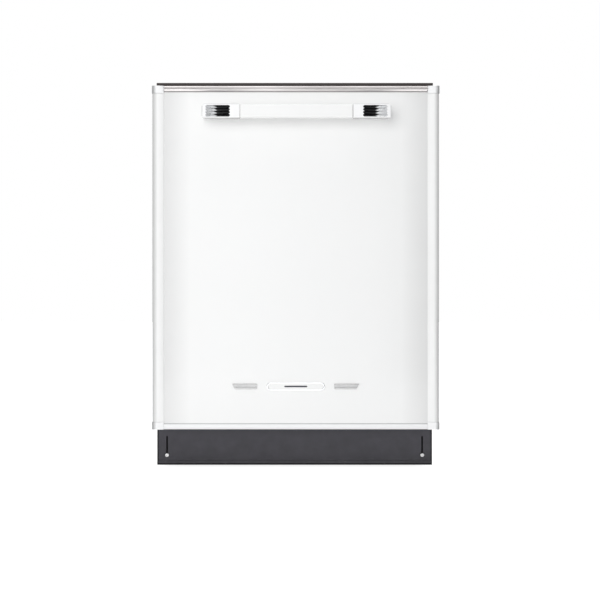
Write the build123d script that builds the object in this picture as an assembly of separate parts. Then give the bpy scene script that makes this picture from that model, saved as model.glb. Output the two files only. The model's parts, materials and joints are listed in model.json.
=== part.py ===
"""Built-in dishwasher. Millimetres, +Z up, front towards -Y, origin under the middle of the machine."""

import os

from build123d import *

os.makedirs("parts", exist_ok=True)

# ---------------------------------------------------------------- driving sizes
# cabinet
cabinet_width = 598.0
cabinet_height = 835.0
cabinet_depth = 558.0  # tub flange to the back of the rear panel
sheet = 1.2  # outer steel sheets and door sheets
sheet_return = 14.0  # folded edge of a sheet
ground_clearance = 20.0  # underside of the base tray
rear_recess = 45.0  # room for hoses behind the base tray

# tub
tub_side_gap = 26.5  # tub to the outer face of a side panel
tub_width = cabinet_width - 2 * tub_side_gap
tub_sheet = 1.5
tub_headroom = 50.0  # cabinet top to tub ceiling
tub_corner = 40.0
blanket_rear = 22.0
blanket_ease = 0.5
blanket_top_gap = 8.0

# door
door_overhang = 3.0  # past the cabinet at each side
door_width = cabinet_width + 2 * door_overhang
door_bottom = 93.0
door_reveal = 20.5  # cabinet top to the top of the door
door_height = cabinet_height - door_reveal - door_bottom
shell_depth = 40.0  # front face to hinge line
hinge_rise = 25.0  # door bottom to hinge line
liner_depth = 16.0  # hinge line to the inner face
seal_gap = 6.0  # inner face to tub flange
liner_bottom = 10.0  # above the hinge line
liner_inset = 17.0  # cabinet side to the liner's edge
liner_width = cabinet_width - 2 * liner_inset
side_wall = 6.0  # moulding thickness beside the panel
cross_wall = 3.0  # strip thickness over the panel's ends
trim_return = 38.0  # how far the mouldings reach back
top_return = 8.0  # how far the top strip reaches back

# front mouldings
moulding_width = 24.5
moulding_proud = 4.0
moulding_round = 11.0
moulding_step = 1.2
strip_height = 12.6
bead_height = 9.0
cap_height = 15.0
cap_proud = 0.6
cap_rise = 1.4
cap_round = 3.6

# handle
handle_length = 390.0
bracket_length = 78.3
handle_reach = 48.0
handle_below_top = 60.5
bar_length = handle_length - 2 * bracket_length
bar_height = 28.0
bar_thickness = 14.0
bar_round = 3.0
bracket_height = 29.4
bracket_wall = 3.0
bracket_face = 11.0  # depth at full height, behind which it narrows to the neck
bracket_neck = 13.4  # height where it meets the door
bracket_round = 6.0
front_land = 22.5
finger_land = 12.0
scoop_length = 46.0
scoop_depth = 8.0
flute_count = 4
flute_height = 4.2
flute_gap = 1.6
flute_depth = 1.4

# badges
badge_height = 183.0  # above the floor
badge_bar_length = 52.0
badge_bar_height = 11.0
badge_spacing = 215.0
plate_length = 122.0
plate_height = 17.0
badge_thickness = 2.5

# kick panel
kick_setback = 73.0  # behind the door's front face
kick_bottom = 6.0
kick_top = 97.0
kick_hem = 9.0
slot_inset = 21.4
slot_width = 3.3
slot_top = 67.0
screw_height = 27.5
screw_head = 4.0
screw_shank = 1.5

# base tray
tray_wall = 3.0
boss_radius = 12.0
boss_height = 55.0
foot_inset_x = 48.0
foot_inset_front = 60.0
foot_inset_back = 40.0
foot_pad_radius = 22.0
foot_pad_height = 8.0
stud_radius = 5.0

# hinge
pin_radius = 4.0
nose_radius = 8.0
bracket_thickness = 6.0
arm_thickness = 4.0
arm_height = 160.0
arm_depth = 20.0
neck_low = 2.0
neck_height = 14.0
leg_depth = 45.0
leg_height = 60.0

# fits
turn_fit = 0.05
gap = 0.3
ease = 0.5

# sump, pumps and pipes
sump_radius = 112.0
sump_wall = 3.0
sump_bottom = 60.0
sump_flange = 14.0
port_half = 22.0
port_reach = 6.0
plate_drop = 4.0  # filter plate below the tub floor
plate_sheet = 2.0
filter_radius = 31.0
filter_offset = 62.0
filter_depth = 55.0
filter_grip = 15.0
post_radius = 14.0
axle_radius = 10.0
volute_radius = 46.0
motor_radius = 42.0
motor_length = 95.0
volute_length = 42.0
drain_radius = 30.0
drain_length = 60.0
spigot_radius = 10.5
inlet_radius = 13.2
inlet_from_side = 114.0
valve_width = 56.0
valve_depth = 46.0
valve_rise = 24.0  # port axis to the top of the valve body
solenoid_radius = 17.0
solenoid_rise = 50.0  # port axis to the top of the solenoid
spigot_inset = 10.0
collar_step = 4.0
collar_proud = 2.0

# spray arms
lower_arm_length = tub_width - 75.0
upper_arm_length = tub_width - 115.0
arm_width = 42.0
arm_thick = 16.0
lower_arm_level = 158.0
hub_radius = 26.0

# racks
wire = 4.0
rack_front_gap = 40.0  # tub flange to rack front
rack_back_clear = 8.3  # rack to the feed pipe behind it
lower_rack_clear = 22.5  # rack to tub wall
lower_rack_width = tub_width - 2 * lower_rack_clear
track_clear = 57.5  # tub wall to the raised lip in front of the arms
lower_rack_level = 192.0
lower_rack_height = 148.0
upper_rack_clear = 32.5
upper_rack_width = tub_width - 2 * upper_rack_clear
upper_rack_level = 460.0
upper_rack_height = 140.0
rack_columns = 13
rack_rows = 12
wall_rows = 4
comb_pitch = 32.0
comb_count = 10
comb_height = 74.0
comb_teeth = 9
wheel_radius = 16.0
wheel_width = 10.0
wheel_axle = 3.0
wheel_inset = 70.0
cutlery_width = 240.0
cutlery_depth = 76.0
cutlery_height = 130.0
cutlery_wells = 4
cutlery_wall = 2.5

# upper rack runners
guide_depth = 13.0
guide_height = 40.0
guide_level = 522.0
guide_inset = 25.0
rail_thickness = 10.0
rail_height = 30.0
rail_groove = 6.3
runner_height = 16.0
runner_length = 60.0

# feed pipe
feed_depth = 20.0
feed_width = 44.0
feed_top = 475.0
nozzle_radius = 9.0
tube_width = 28.0
tube_height = 16.0
dock_gap = 0.6

# dispenser in the door
dispenser_height = 430.0  # above the floor
dispenser_x = 40.0
dispenser_width = 212.0
dispenser_tall = 112.0
dispenser_deep = 30.0
dispenser_lip = 2.0
lip_margin = 7.0
cup_width = 60.0
cup_tall = 64.0
cup_deep = 22.0
cup_shift = 58.0
lid_margin = 5.0
lid_thickness = 3.0
cap_radius = 18.0
cap_thickness = 9.0
cap_shift = 74.0
cap_stem = 8.0

# latch
latch_drop = 17.5  # door top to the underside of the hook
latch_level = cabinet_height - door_reveal - latch_drop
latch_half = 32.0
latch_depth = 34.8
hook_half = 6.0
hook_thick = 4.0
nib_rise = 2.6
hook_pivot = 20.0  # hook pin to the liner's inner face
strike_half = 22.0

# controls on the door's top edge
fascia_thickness = 8.0
fascia_low = 0.5  # below the top of the door
button_width = 24.0
button_depth = 12.0
button_travel = 1.5
button_inset = 72.0  # door edge to the outer buttons
button_spacing = 50.0
button_outer = door_width / 2 - button_inset
button_places = {
    "power_button": -button_outer,
    "program_button": button_spacing - button_outer,
    "start_button": button_outer,
}
lens_width = 110.0
lens_depth = 16.0
lens_thickness = 1.6

# top of the cabinet
strip_sheet = 2.0
strip_drop = 20.0
strip_flange = 45.0
bracket_inset = 119.0
bracket_place = cabinet_width / 2 - bracket_inset
bracket_size = 50.0
bracket_sheet = 2.0
bolt_spacing = 25.0
bolt_radius = 2.6

# ---------------------------------------------------------------- positions
overall_depth = handle_reach + shell_depth + liner_depth + seal_gap + cabinet_depth
y_door = -overall_depth / 2 + handle_reach
y_hinge = y_door + shell_depth
y_liner = y_hinge + liner_depth
y_tub = y_liner + seal_gap
y_rear = y_tub + cabinet_depth
y_kick = y_door + kick_setback

z_hinge = door_bottom + hinge_rise
z_door_top = door_bottom + door_height
z_floor = z_hinge + liner_depth + 1.0
z_floor_under = z_floor - tub_sheet
z_ceiling = cabinet_height - tub_headroom
z_leg = z_floor + 5.0
z_tray_front = z_hinge + neck_low - ease

half_cabinet = cabinet_width / 2
half_inside = half_cabinet - sheet
half_tub = tub_width / 2
half_wrap = half_tub + tub_sheet
half_door = door_width / 2
half_panel = half_door - side_wall
half_liner = liner_width / 2
panel_low = door_bottom + cross_wall
panel_high = z_door_top - cross_wall

y_back = y_rear - sheet - blanket_rear - 2 * blanket_ease - tub_sheet
y_centre = (y_tub + y_back) / 2
y_tray = y_kick + sheet + gap
y_tray_back = y_rear - rear_recess
y_rack_front = y_tub + rack_front_gap
y_rack_back = y_back - feed_depth - rack_back_clear
z_fascia = z_door_top - fascia_low
z_fascia_low = z_fascia - fascia_thickness
z_handle = z_door_top - handle_below_top


# ---------------------------------------------------------------- helpers
def block(x0, x1, y0, y1, z0, z1):
    """A box between two corners."""
    middle = Pos((x0 + x1) / 2, (y0 + y1) / 2, (z0 + z1) / 2)
    return middle * Box(x1 - x0, y1 - y0, z1 - z0)


def rod_x(radius, x0, x1, y, z):
    return Pos((x0 + x1) / 2, y, z) * Rot(0, 90, 0) * Cylinder(radius, x1 - x0)


def rod_y(radius, x, y0, y1, z):
    return Pos(x, (y0 + y1) / 2, z) * Rot(90, 0, 0) * Cylinder(radius, y1 - y0)


def rod_z(radius, x, y, z0, z1):
    return Pos(x, y, (z0 + z1) / 2) * Cylinder(radius, z1 - z0)


def mirrored(solid):
    """The same piece on the other side of the machine."""
    return mirror(solid, Plane.YZ)


def arched(half, y0, y1, z0, z1, corner):
    """A box whose two upper edges along Y are rounded."""
    body = block(-half, half, y0, y1, z0, z1)
    return fillet(body.edges().filter_by(Axis.Y).sort_by(Axis.Z)[-2:], corner)


def rectangle(x0, x1, y0, y1):
    corners = [(x0, y0, 0), (x1, y0, 0), (x1, y1, 0), (x0, y1, 0)]
    return Wire.make_polygon([Vector(*c) for c in corners], close=True)


def grid(x0, x1, y0, y1, columns, rows):
    """A flat grid of square wires, lying on the XY plane."""
    pitch_x = (x1 - x0 - wire) / columns
    pitch_y = (y1 - y0 - wire) / rows
    cells = []
    for i in range(columns):
        for j in range(rows):
            left = x0 + wire + i * pitch_x
            low = y0 + wire + j * pitch_y
            cells.append(rectangle(left, left + pitch_x - wire, low, low + pitch_y - wire))
    return extrude(Face(rectangle(x0, x1, y0, y1), cells), wire)


def rack_shell(half, level, height):
    """Floor grid and four wall grids of a rack, face to face."""
    low = level + wire
    front = y_rack_front
    back = y_rack_back
    floor = Pos(0, 0, level) * grid(-half, half, front, back, rack_columns, rack_rows)
    end = grid(-half, half, low, level + height, rack_columns, wall_rows)
    side = grid(front + wire, back - wire, low, level + height, rack_rows, wall_rows)
    pieces = [floor]
    pieces.append(Plane.XZ.offset(-(front + wire)) * end)
    pieces.append(Plane.XZ.offset(-back) * end)
    pieces.append(Plane.YZ.offset(half - wire) * side)
    pieces.append(Plane.YZ.offset(-half) * side)
    return pieces


def comb(x0, x1, y, z0, height, teeth):
    """One cross wire with upright tines, square section."""
    base = block(x0, x1, y, y + wire, z0, z0 + wire)
    pitch = (x1 - x0 - wire) / (teeth - 1)
    for i in range(teeth):
        left = x0 + i * pitch
        base = base + block(left, left + wire, y, y + wire, z0, z0 + height)
    return base


pieces = {}


def keep(name, *solids):
    """Register a node made of one or more solids."""
    pieces[name] = [solid for group in solids for solid in group.solids()]


# ---------------------------------------------------------------- base and feet
def foot_places():
    front = y_tray + foot_inset_front
    back = y_tray_back - foot_inset_back
    side = half_cabinet - foot_inset_x
    return {
        "levelling_foot_front_left": (-side, front),
        "levelling_foot_front_right": (side, front),
        "levelling_foot_rear_left": (-side, back),
        "levelling_foot_rear_right": (side, back),
    }


screw_x = half_cabinet - slot_inset
inlet_x = inlet_from_side - half_cabinet
inlet_z = 62.0
drain_z = 85.0


def base_tray():
    low = ground_clearance
    inner = half_inside - tray_wall
    tray = block(-half_inside, half_inside, y_tray, y_tray_back, low, z_floor_under)
    tray -= block(-inner, inner, y_tray + tray_wall, y_tray_back - tray_wall, low + tray_wall, z_floor)
    tray -= block(-half_cabinet, half_cabinet, y_tray - 1, y_tray + tray_wall, z_tray_front, z_floor)
    for x, y in foot_places().values():
        tray += rod_z(boss_radius, x, y, low, low + boss_height)
        tray -= rod_z(stud_radius + turn_fit, x, y, low - 1, low + boss_height + 1)
    front = (y_tray - 1, y_tray + tray_wall + 1)
    for side in (-1, 1):
        tray -= rod_y(screw_shank + turn_fit, side * screw_x, *front, screw_height)
    back = (y_tray_back - tray_wall - 1, y_tray_back + 1)
    tray -= rod_y(spigot_radius + collar_step + ease, 0, *back, drain_z)
    tray -= rod_y(inlet_radius + collar_step + ease, inlet_x, *back, inlet_z)
    return tray


keep("base_tray", base_tray())

collar_top = ground_clearance - gap
stud_top = ground_clearance + boss_height - wire
for name, (x, y) in foot_places().items():
    pad = rod_z(foot_pad_radius, x, y, 0, foot_pad_height)
    pad = fillet(pad.edges().sort_by(Axis.Z)[-1], foot_pad_height / 3)
    nut_sketch = RegularPolygon(boss_radius, 6)
    nut = Pos(x, y, foot_pad_height) * extrude(nut_sketch, collar_top - foot_pad_height)
    keep(name, pad + nut + rod_z(stud_radius, x, y, collar_top - 1, stud_top))


def kick_panel():
    panel = block(-half_cabinet, half_cabinet, y_kick, y_kick + sheet, kick_bottom, kick_top)
    hem = block(-half_cabinet, half_cabinet, y_kick - sheet, y_kick, kick_bottom, kick_bottom + kick_hem)
    panel += fillet(hem.edges().filter_by(Axis.X).group_by(Axis.Y)[0], sheet / 2)
    for side in (-1, 1):
        x = side * screw_x
        low = screw_height
        cut = block(x - slot_width / 2, x + slot_width / 2, y_kick - 1, y_kick + sheet + 1, low, slot_top)
        cut += rod_y(slot_width / 2, x, y_kick - 1, y_kick + sheet + 1, low)
        cut += rod_y(slot_width / 2, x, y_kick - 1, y_kick + sheet + 1, slot_top)
        panel -= cut
    return panel


keep("kick_panel", kick_panel())


def kick_screw(x):
    seat = y_kick - gap
    head = rod_y(screw_head, x, seat - screw_head * 0.7, seat, screw_height)
    head = fillet(head.edges().sort_by(Axis.Y)[0], screw_head * 0.6)
    return head + rod_y(screw_shank, x, seat - 1, y_tray + tray_wall + 3, screw_height)


keep("kick_panel_screws", kick_screw(-screw_x), kick_screw(screw_x))


# ---------------------------------------------------------------- tub
slot_low = latch_level - 3.8
slot_high = latch_level + hook_thick + nib_rise + gap


def tub_wrap():
    inner = arched(half_tub, y_tub - 1, y_back + 1, z_floor - 1, z_ceiling, tub_corner)
    outer = arched(half_wrap, y_tub, y_back, z_floor, z_ceiling + tub_sheet, tub_corner + tub_sheet)
    top = cabinet_height - sheet
    flange = block(-half_inside, half_inside, y_tub, y_tub + tub_sheet, z_leg, top)
    slot = block(-strike_half + wire, strike_half - wire, y_tub - 1, y_tub + 2, slot_low, slot_high + 2)
    return outer + flange - inner - slot


keep("tub_wrap", tub_wrap())
keep("tub_back", block(-half_wrap, half_wrap, y_back, y_back + tub_sheet, z_floor, z_ceiling + tub_sheet))

track_inner = half_tub - track_clear
wing_start = y_tub + 75.0


def tub_floor():
    top = z_floor
    low = z_floor_under
    plate = block(-half_wrap, half_wrap, y_tub, y_back + tub_sheet, low, top)
    for side in (-1, 1):
        edges = sorted((side * half_tub, side * half_inside))
        plate += block(*edges, wing_start, y_tray_back, low, top)
    plate += block(-half_tub, half_tub, y_tub, y_tub + tub_sheet, z_tray_front, top)
    plate += block(-half_tub, half_tub, y_tub, y_tray + tray_wall, z_tray_front, z_tray_front + tub_sheet)
    plate += block(-track_inner, track_inner, y_tub, y_tub + tub_sheet, top, z_leg)
    return plate - rod_z(sump_radius - sump_wall, 0, y_centre, low - 1, top + 1)


keep("tub_floor", tub_floor())

gasket_width = 7.0
gasket_front = y_liner + gap


def tub_gasket():
    inner_half = half_tub + ease
    inner_top = z_ceiling + ease
    wide = gasket_width
    outer = arched(inner_half + wide, gasket_front, y_tub, z_leg, inner_top + wide, tub_corner)
    inner = arched(inner_half, gasket_front - 1, y_tub + 1, z_leg - 1, inner_top, tub_corner - wide)
    ring = outer - inner
    ring = fillet(ring.faces().sort_by(Axis.Y)[0].edges().filter_by(Axis.X).sort_by(Axis.Z)[-1], 2.0)
    low = z_hinge + 4.0
    lip = block(-half_tub, half_tub, gasket_front, y_tub, low, low + gasket_width)
    lip = fillet(lip.edges().filter_by(Axis.X).group_by(Axis.Y)[0], 2.0)
    return [ring, lip]


keep("tub_gasket", *tub_gasket())

# ---------------------------------------------------------------- cabinet sheets
y_side = y_tray + ease


def side_panel():
    low = ground_clearance
    top = cabinet_height - sheet
    panel = block(half_inside, half_cabinet, y_tub + ease, y_rear, z_leg, top)
    panel += block(half_inside, half_cabinet, y_side, y_rear, low, z_leg)
    inner = half_inside - sheet_return
    panel += block(inner, half_inside, y_tub + tub_sheet, y_rear - sheet, top - sheet, top)
    panel += block(inner, half_inside, y_rear - 2 * sheet, y_rear - sheet, z_leg, top - sheet)
    return panel


keep("side_panel_right", side_panel())
keep("side_panel_left", mirrored(side_panel()))
keep(
    "rear_panel",
    block(-half_inside, half_inside, y_rear - sheet, y_rear, z_leg, cabinet_height - sheet),
)


def top_front_strip():
    low = cabinet_height - strip_drop
    top = cabinet_height
    strip = block(-half_cabinet, half_cabinet, y_tub - strip_sheet, y_tub, low, top)
    strip += block(-half_cabinet, half_cabinet, y_tub, y_tub + strip_flange, top - sheet, top)
    return strip - bolt_holes(top)


def bolt_holes(top):
    holes = []
    y = y_tub + strip_flange / 2
    for side in (-1, 1):
        for step in (-0.5, 0.5):
            x = side * bracket_place + step * bolt_spacing
            holes.append(rod_z(bolt_radius, x, y, top - strip_drop / 2, top + 1))
    return holes


def counter_brackets():
    top = cabinet_height - sheet
    plates = []
    for side in (-1, 1):
        x = side * bracket_place
        half = bracket_size / 2
        plate = block(x - half, x + half, y_tub + wire, y_tub + strip_flange, top - bracket_sheet, top)
        plates.append(plate - bolt_holes(cabinet_height))
    return plates


keep("top_front_strip", top_front_strip())
keep("counter_brackets", *counter_brackets())


def insulation_blanket():
    side_in = half_wrap + blanket_ease
    side_out = half_inside - blanket_ease
    front = y_tub + wire * 3
    back = y_rear - sheet - blanket_ease
    top = cabinet_height - blanket_top_gap
    low = z_leg + 2
    roof = z_ceiling + tub_sheet + blanket_ease
    mat = block(-side_out, side_out, front, back, low, top)
    mat = mat - block(-side_in, side_in, front - 1, y_back + tub_sheet + blanket_ease, low - 1, roof)
    notch = side_out + ease - sheet_return
    for side in (-1, 1):
        edges = sorted((side * notch, side * half_cabinet))
        mat = mat - block(*edges, back - sheet - ease, back + 1, low - 1, top + 1)
    return mat


keep("insulation_blanket", insulation_blanket())


# ---------------------------------------------------------------- sump, filter and pumps
z_plate_top = z_floor - plate_drop
z_plate_low = z_plate_top - plate_sheet
y_filter = y_centre - filter_offset
x_port = sump_radius + port_reach


def sump():
    low = sump_bottom
    inner = sump_radius - sump_wall
    cup = rod_z(sump_radius, 0, y_centre, low, z_floor_under)
    cup += rod_z(sump_radius + sump_flange, 0, y_centre, z_floor_under - sump_wall, z_floor_under)
    cup += block(inner, x_port, y_centre - port_half, y_centre + port_half, low, low + 2 * port_half)
    y_port = y_centre + sump_radius
    cup += block(-port_half, port_half, y_port - 12, y_port + port_reach, low, low + 2 * port_half)
    cup -= rod_z(inner, 0, y_centre, low + sump_wall, z_floor + 1)
    ledge = rod_z(inner + 1, 0, y_centre, z_plate_low - sump_wall, z_plate_low)
    ledge -= rod_z(inner - 5, 0, y_centre, z_plate_low - sump_wall - 1, z_plate_low + 1)
    cup += ledge
    cup += rod_z(post_radius, 0, y_centre, low + sump_wall / 2, lower_arm_level - gap)
    cup += rod_z(axle_radius, 0, y_centre, lower_arm_level - 1, lower_arm_level + arm_thick - 4)
    return cup


keep("sump", sump())

filter_plate = rod_z(sump_radius - sump_wall - gap, 0, y_centre, z_plate_low, z_plate_top)
filter_plate -= rod_z(filter_radius + gap, 0, y_filter, z_plate_low - 1, z_plate_top + 1)
filter_plate -= rod_z(post_radius + gap, 0, y_centre, z_plate_low - 1, z_plate_top + 1)
keep("filter_plate", filter_plate)


def filter_cylinder():
    seat = z_plate_top + gap
    body = rod_z(filter_radius, 0, y_filter, z_plate_low - filter_depth, seat + 1)
    body -= rod_z(filter_radius - 3, 0, y_filter, z_plate_low - filter_depth + 3, seat + 4)
    rim = rod_z(filter_radius + 5, 0, y_filter, seat, seat + 3)
    rim -= rod_z(filter_radius - 3, 0, y_filter, seat - 1, seat + 4)
    half = filter_radius - 1
    grip = block(-half, half, y_filter - 3, y_filter + 3, seat - 8, seat + filter_grip)
    return body + rim + grip


keep("filter_cylinder", filter_cylinder())

tray_floor = ground_clearance + tray_wall
z_pump = sump_bottom + port_half


def circulation_pump():
    end = x_port + volute_length
    pump = rod_x(volute_radius, x_port + 8, end, y_centre, z_pump)
    pump += rod_x(port_half - 4, x_port, x_port + 9, y_centre, z_pump)
    pump += rod_x(motor_radius, end - 1, end + motor_length, y_centre, z_pump)
    middle = end + motor_length / 2
    return pump + block(end - 20, middle, y_centre - 25, y_centre + 25, tray_floor, z_pump)


keep("circulation_pump", circulation_pump())
y_drain = y_centre + sump_radius + port_reach


def drain_pump():
    pump = rod_y(drain_radius, 0, y_drain, y_drain + drain_length, drain_z)
    pump += block(-18, 18, y_drain + 8, y_drain + drain_length - 8, tray_floor, drain_z)
    tip = y_rear - spigot_inset
    pump += rod_y(spigot_radius, 0, y_drain + drain_length - 1, tip, drain_z)
    collar = spigot_radius + collar_step
    return pump + rod_y(collar, 0, y_drain + drain_length - 1, y_tray_back + collar_proud, drain_z)


keep("drain_pump", drain_pump())


def inlet_valve():
    inner = y_tray_back - tray_wall
    half = valve_width / 2
    top = inlet_z + valve_rise
    body = block(inlet_x - half, inlet_x + half, inner - valve_depth, inner, tray_floor, top)
    solenoid_y = inner - valve_depth / 2
    body += rod_z(solenoid_radius, inlet_x, solenoid_y, top - 1, inlet_z + solenoid_rise)
    body += rod_y(inlet_radius + collar_step, inlet_x, inner - 1, y_tray_back + collar_proud, inlet_z)
    return body + rod_y(inlet_radius, inlet_x, inner - 1, y_rear - spigot_inset, inlet_z)


keep("water_inlet_valve", inlet_valve())

feed_front = y_back - feed_depth
nozzle_front = y_rack_back + 2.0
tube_low = upper_rack_level - tube_height
z_nozzle = tube_low + tube_height / 2
feed = block(-feed_width / 2, feed_width / 2, feed_front, y_back, z_floor, feed_top)
feed = fillet(feed.edges().filter_by(Axis.Z).group_by(Axis.Y)[0], 6.0)
keep("spray_feed_pipe", feed + rod_y(nozzle_radius - 2, 0, nozzle_front, feed_front + 1, z_nozzle))


# ---------------------------------------------------------------- hinges
nose_out = half_panel - sheet - arm_thickness - gap
nose_in = nose_out - bracket_thickness


def hinge_bracket():
    tray_inner = half_inside - tray_wall
    top = z_hinge + neck_low + neck_height
    leg_back = y_tray + tray_wall + leg_depth
    nose = rod_x(nose_radius, nose_in, nose_out, y_hinge, z_hinge)
    nose += block(nose_in, nose_out, y_hinge, leg_back, z_hinge + neck_low, top)
    nose += block(nose_in, tray_inner, y_tray + tray_wall, leg_back, leg_height, z_floor_under)
    return nose + rod_x(pin_radius, nose_out - 1, half_panel - sheet - gap, y_hinge, z_hinge)


keep("hinge_brackets", hinge_bracket(), mirrored(hinge_bracket()))


def hinge_arm():
    inner = nose_out + gap
    outer = half_panel - sheet
    front = y_hinge - sheet
    arm = block(inner, outer, front - arm_depth, front, z_hinge - nose_radius, z_hinge + arm_height)
    arm += rod_x(nose_radius + 2, inner, outer, y_hinge, z_hinge)
    return arm - rod_x(pin_radius + turn_fit, inner - 1, outer + 1, y_hinge, z_hinge)


keep("door_hinge_arms", hinge_arm(), mirrored(hinge_arm()))


# ---------------------------------------------------------------- door panel and liner
def door_outer_panel():
    back = y_hinge - sheet
    panel = block(-half_panel, half_panel, y_door, back, panel_low, panel_high)
    inner = half_panel - sheet
    panel -= block(-inner, inner, y_door + sheet, back + 1, panel_low + sheet, panel_high - sheet)
    panel -= block(-inner, inner, y_door + top_return, back + 1, panel_high - 2 * sheet, panel_high + 1)
    return panel


keep("door_outer_panel", door_outer_panel())

cup_x = dispenser_x - cup_shift
rinse_x = dispenser_x + cap_shift
lip_front = y_liner + dispenser_lip


def door_inner_liner():
    low = z_hinge + liner_bottom
    top = z_fascia_low
    liner = block(-half_liner, half_liner, y_hinge, y_liner, low, top)
    inner = half_liner - sheet
    liner -= block(-inner, inner, y_hinge - 1, y_liner - sheet, low + sheet, top - sheet)
    for side in (-1, 1):
        edges = sorted((side * (half_liner - sheet), side * (half_panel - sheet)))
        liner += block(*edges, y_hinge - sheet, y_hinge, z_hinge + 2 * nose_radius + wire, top)
    well_x = dispenser_width / 2 - lip_margin
    well_z = dispenser_tall / 2 - lip_margin
    z = dispenser_height
    left = dispenser_x - well_x
    right = dispenser_x + well_x
    liner -= block(left, right, y_liner - 5, y_liner + 1, z - well_z, z + well_z)
    reach = hook_half + 1
    return liner - block(-reach, reach, y_liner - 5, y_liner + 1, slot_low, slot_high)


keep("door_inner_liner", door_inner_liner())


def side_moulding():
    inner = half_door - moulding_width
    round_x = half_door - moulding_round
    front = y_door - moulding_proud
    centre = front + moulding_round
    outer_arc = CenterArc((round_x, centre), moulding_round, 270, 90)
    face_arc = ThreePointArc(
        (inner, y_door - moulding_step),
        ((inner + round_x) / 2, y_door - moulding_proud + (moulding_proud - moulding_step) / 4),
        (round_x, front),
    )
    back = y_door + trim_return
    lines = Polyline(
        (half_door, centre), (half_door, back), (half_panel, back), (half_panel, y_door),
        (inner, y_door), (inner, y_door - moulding_step),
    )
    section = make_face([*face_arc.edges(), *outer_arc.edges(), *lines.edges()])
    length = door_height - 2 * cap_height
    return Pos(0, 0, door_bottom + cap_height) * extrude(section, length)


keep("door_side_trim_right", side_moulding())
keep("door_side_trim_left", mirrored(side_moulding()))


def cross_strip(edge, inward, reach_back):
    """A beaded strip along the door's top or bottom edge; inward is -1 or 1 along Z."""
    proud = moulding_proud

    def at(y, z):
        return (y_door + y, edge + inward * z)

    wide = bead_height
    bead = ThreePointArc(at(-proud / 2, 0), at(-proud, wide / 2), at(-0.8, wide))
    rib_low = wide + 0.5
    rib = ThreePointArc(
        at(-0.8, rib_low), at(-proud / 2 - 0.4, (rib_low + strip_height) / 2), at(-0.8, strip_height)
    )
    lines = Polyline(
        at(-0.8, strip_height), at(0, strip_height), at(0, cross_wall), at(reach_back, cross_wall),
        at(reach_back, 0), at(-proud / 2, 0),
    )
    joint = Line(at(-0.8, wide), at(-0.8, rib_low))
    section = make_face([*bead.edges(), *joint.edges(), *rib.edges(), *lines.edges()])
    half = half_door - moulding_width
    return Plane.YZ.offset(-half) * extrude(section, 2 * half)


keep("door_top_trim", cross_strip(z_door_top, -1, top_return))
keep("door_bottom_trim", cross_strip(door_bottom, 1, trim_return))


def corner_cap(edge, inward, reach_back):
    """A pillow on the corner of the door that closes the strip and the moulding."""
    x0 = half_door - moulding_width
    x1 = half_door + cap_proud
    outer = edge - inward * cap_proud
    front = y_door - moulding_proud - cap_rise
    z0, z1 = sorted((outer, edge + inward * cap_height))
    pillow = block(x0, x1, front, y_door, z0, z1)
    pillow = fillet(pillow.faces().sort_by(Axis.Y)[0].edges(), cap_round)
    pillow += block(half_panel, x1, y_door - 0.5, y_door + trim_return, z0, z1)
    z2, z3 = sorted((outer, edge + inward * cross_wall))
    return pillow + block(x0, half_panel, y_door - 0.5, y_door + reach_back, z2, z3)


caps = [corner_cap(z_door_top, -1, top_return), corner_cap(door_bottom, 1, trim_return)]
keep("door_corner_caps", *caps, *[mirrored(cap) for cap in caps])

# ---------------------------------------------------------------- handle and badges
y_grip = y_door - handle_reach
bar = block(
    -bar_length / 2, bar_length / 2, y_grip, y_grip + bar_thickness,
    z_handle - bar_height / 2, z_handle + bar_height / 2,
)
keep("handle_bar", fillet(bar.edges().filter_by(Axis.X).group_by(Axis.Y)[0], bar_round))


def handle_bracket():
    inner = bar_length / 2
    outer = inner + bracket_length
    low = z_handle - bracket_height / 2
    high = z_handle + bracket_height / 2
    half = scoop_length / 2
    radius = (half**2 + scoop_depth**2) / (2 * scoop_depth)
    axis_x = inner + front_land + half
    axis_y = y_grip + scoop_depth - radius
    body = block(inner, outer, y_grip, y_door, low, high)
    neck = y_grip + bracket_face
    drop = (bracket_height - bracket_neck) / 2
    under = Plane.YZ * Polyline((neck, low), (y_door, low), (y_door, low + drop), close=True)
    over = Plane.YZ * Polyline((neck, high), (y_door, high), (y_door, high - drop), close=True)
    for wedge in (under, over):
        body -= Pos(inner - 1, 0, 0) * extrude(make_face(wedge), bracket_length + 2, dir=(1, 0, 0))
    body = fillet(body.edges().filter_by(Axis.Y).group_by(Axis.X)[-1], bracket_round)
    web = inner + finger_land
    body -= block(inner - 1, web, y_grip + bar_thickness, y_door + 1, low - 1, high + 1)
    pitch = flute_height + flute_gap
    reach = flute_count * pitch / 2
    body -= rod_z(radius, axis_x, axis_y, z_handle - reach, z_handle + reach)
    for i in range(flute_count):
        middle = z_handle + (i - (flute_count - 1) / 2) * pitch
        z0 = middle - flute_height / 2
        body -= rod_z(radius + flute_depth, axis_x, axis_y, z0, z0 + flute_height)
    hollow = y_grip + scoop_depth + flute_depth + bracket_wall
    left = web + bracket_wall
    right = outer - bracket_wall
    inside = bracket_neck / 2 - bracket_wall
    body -= block(left, right, hollow, y_door + 1, z_handle - inside, z_handle + inside)
    return body


keep("handle_bracket_right", handle_bracket())
keep("handle_bracket_left", mirrored(handle_bracket()))


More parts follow.
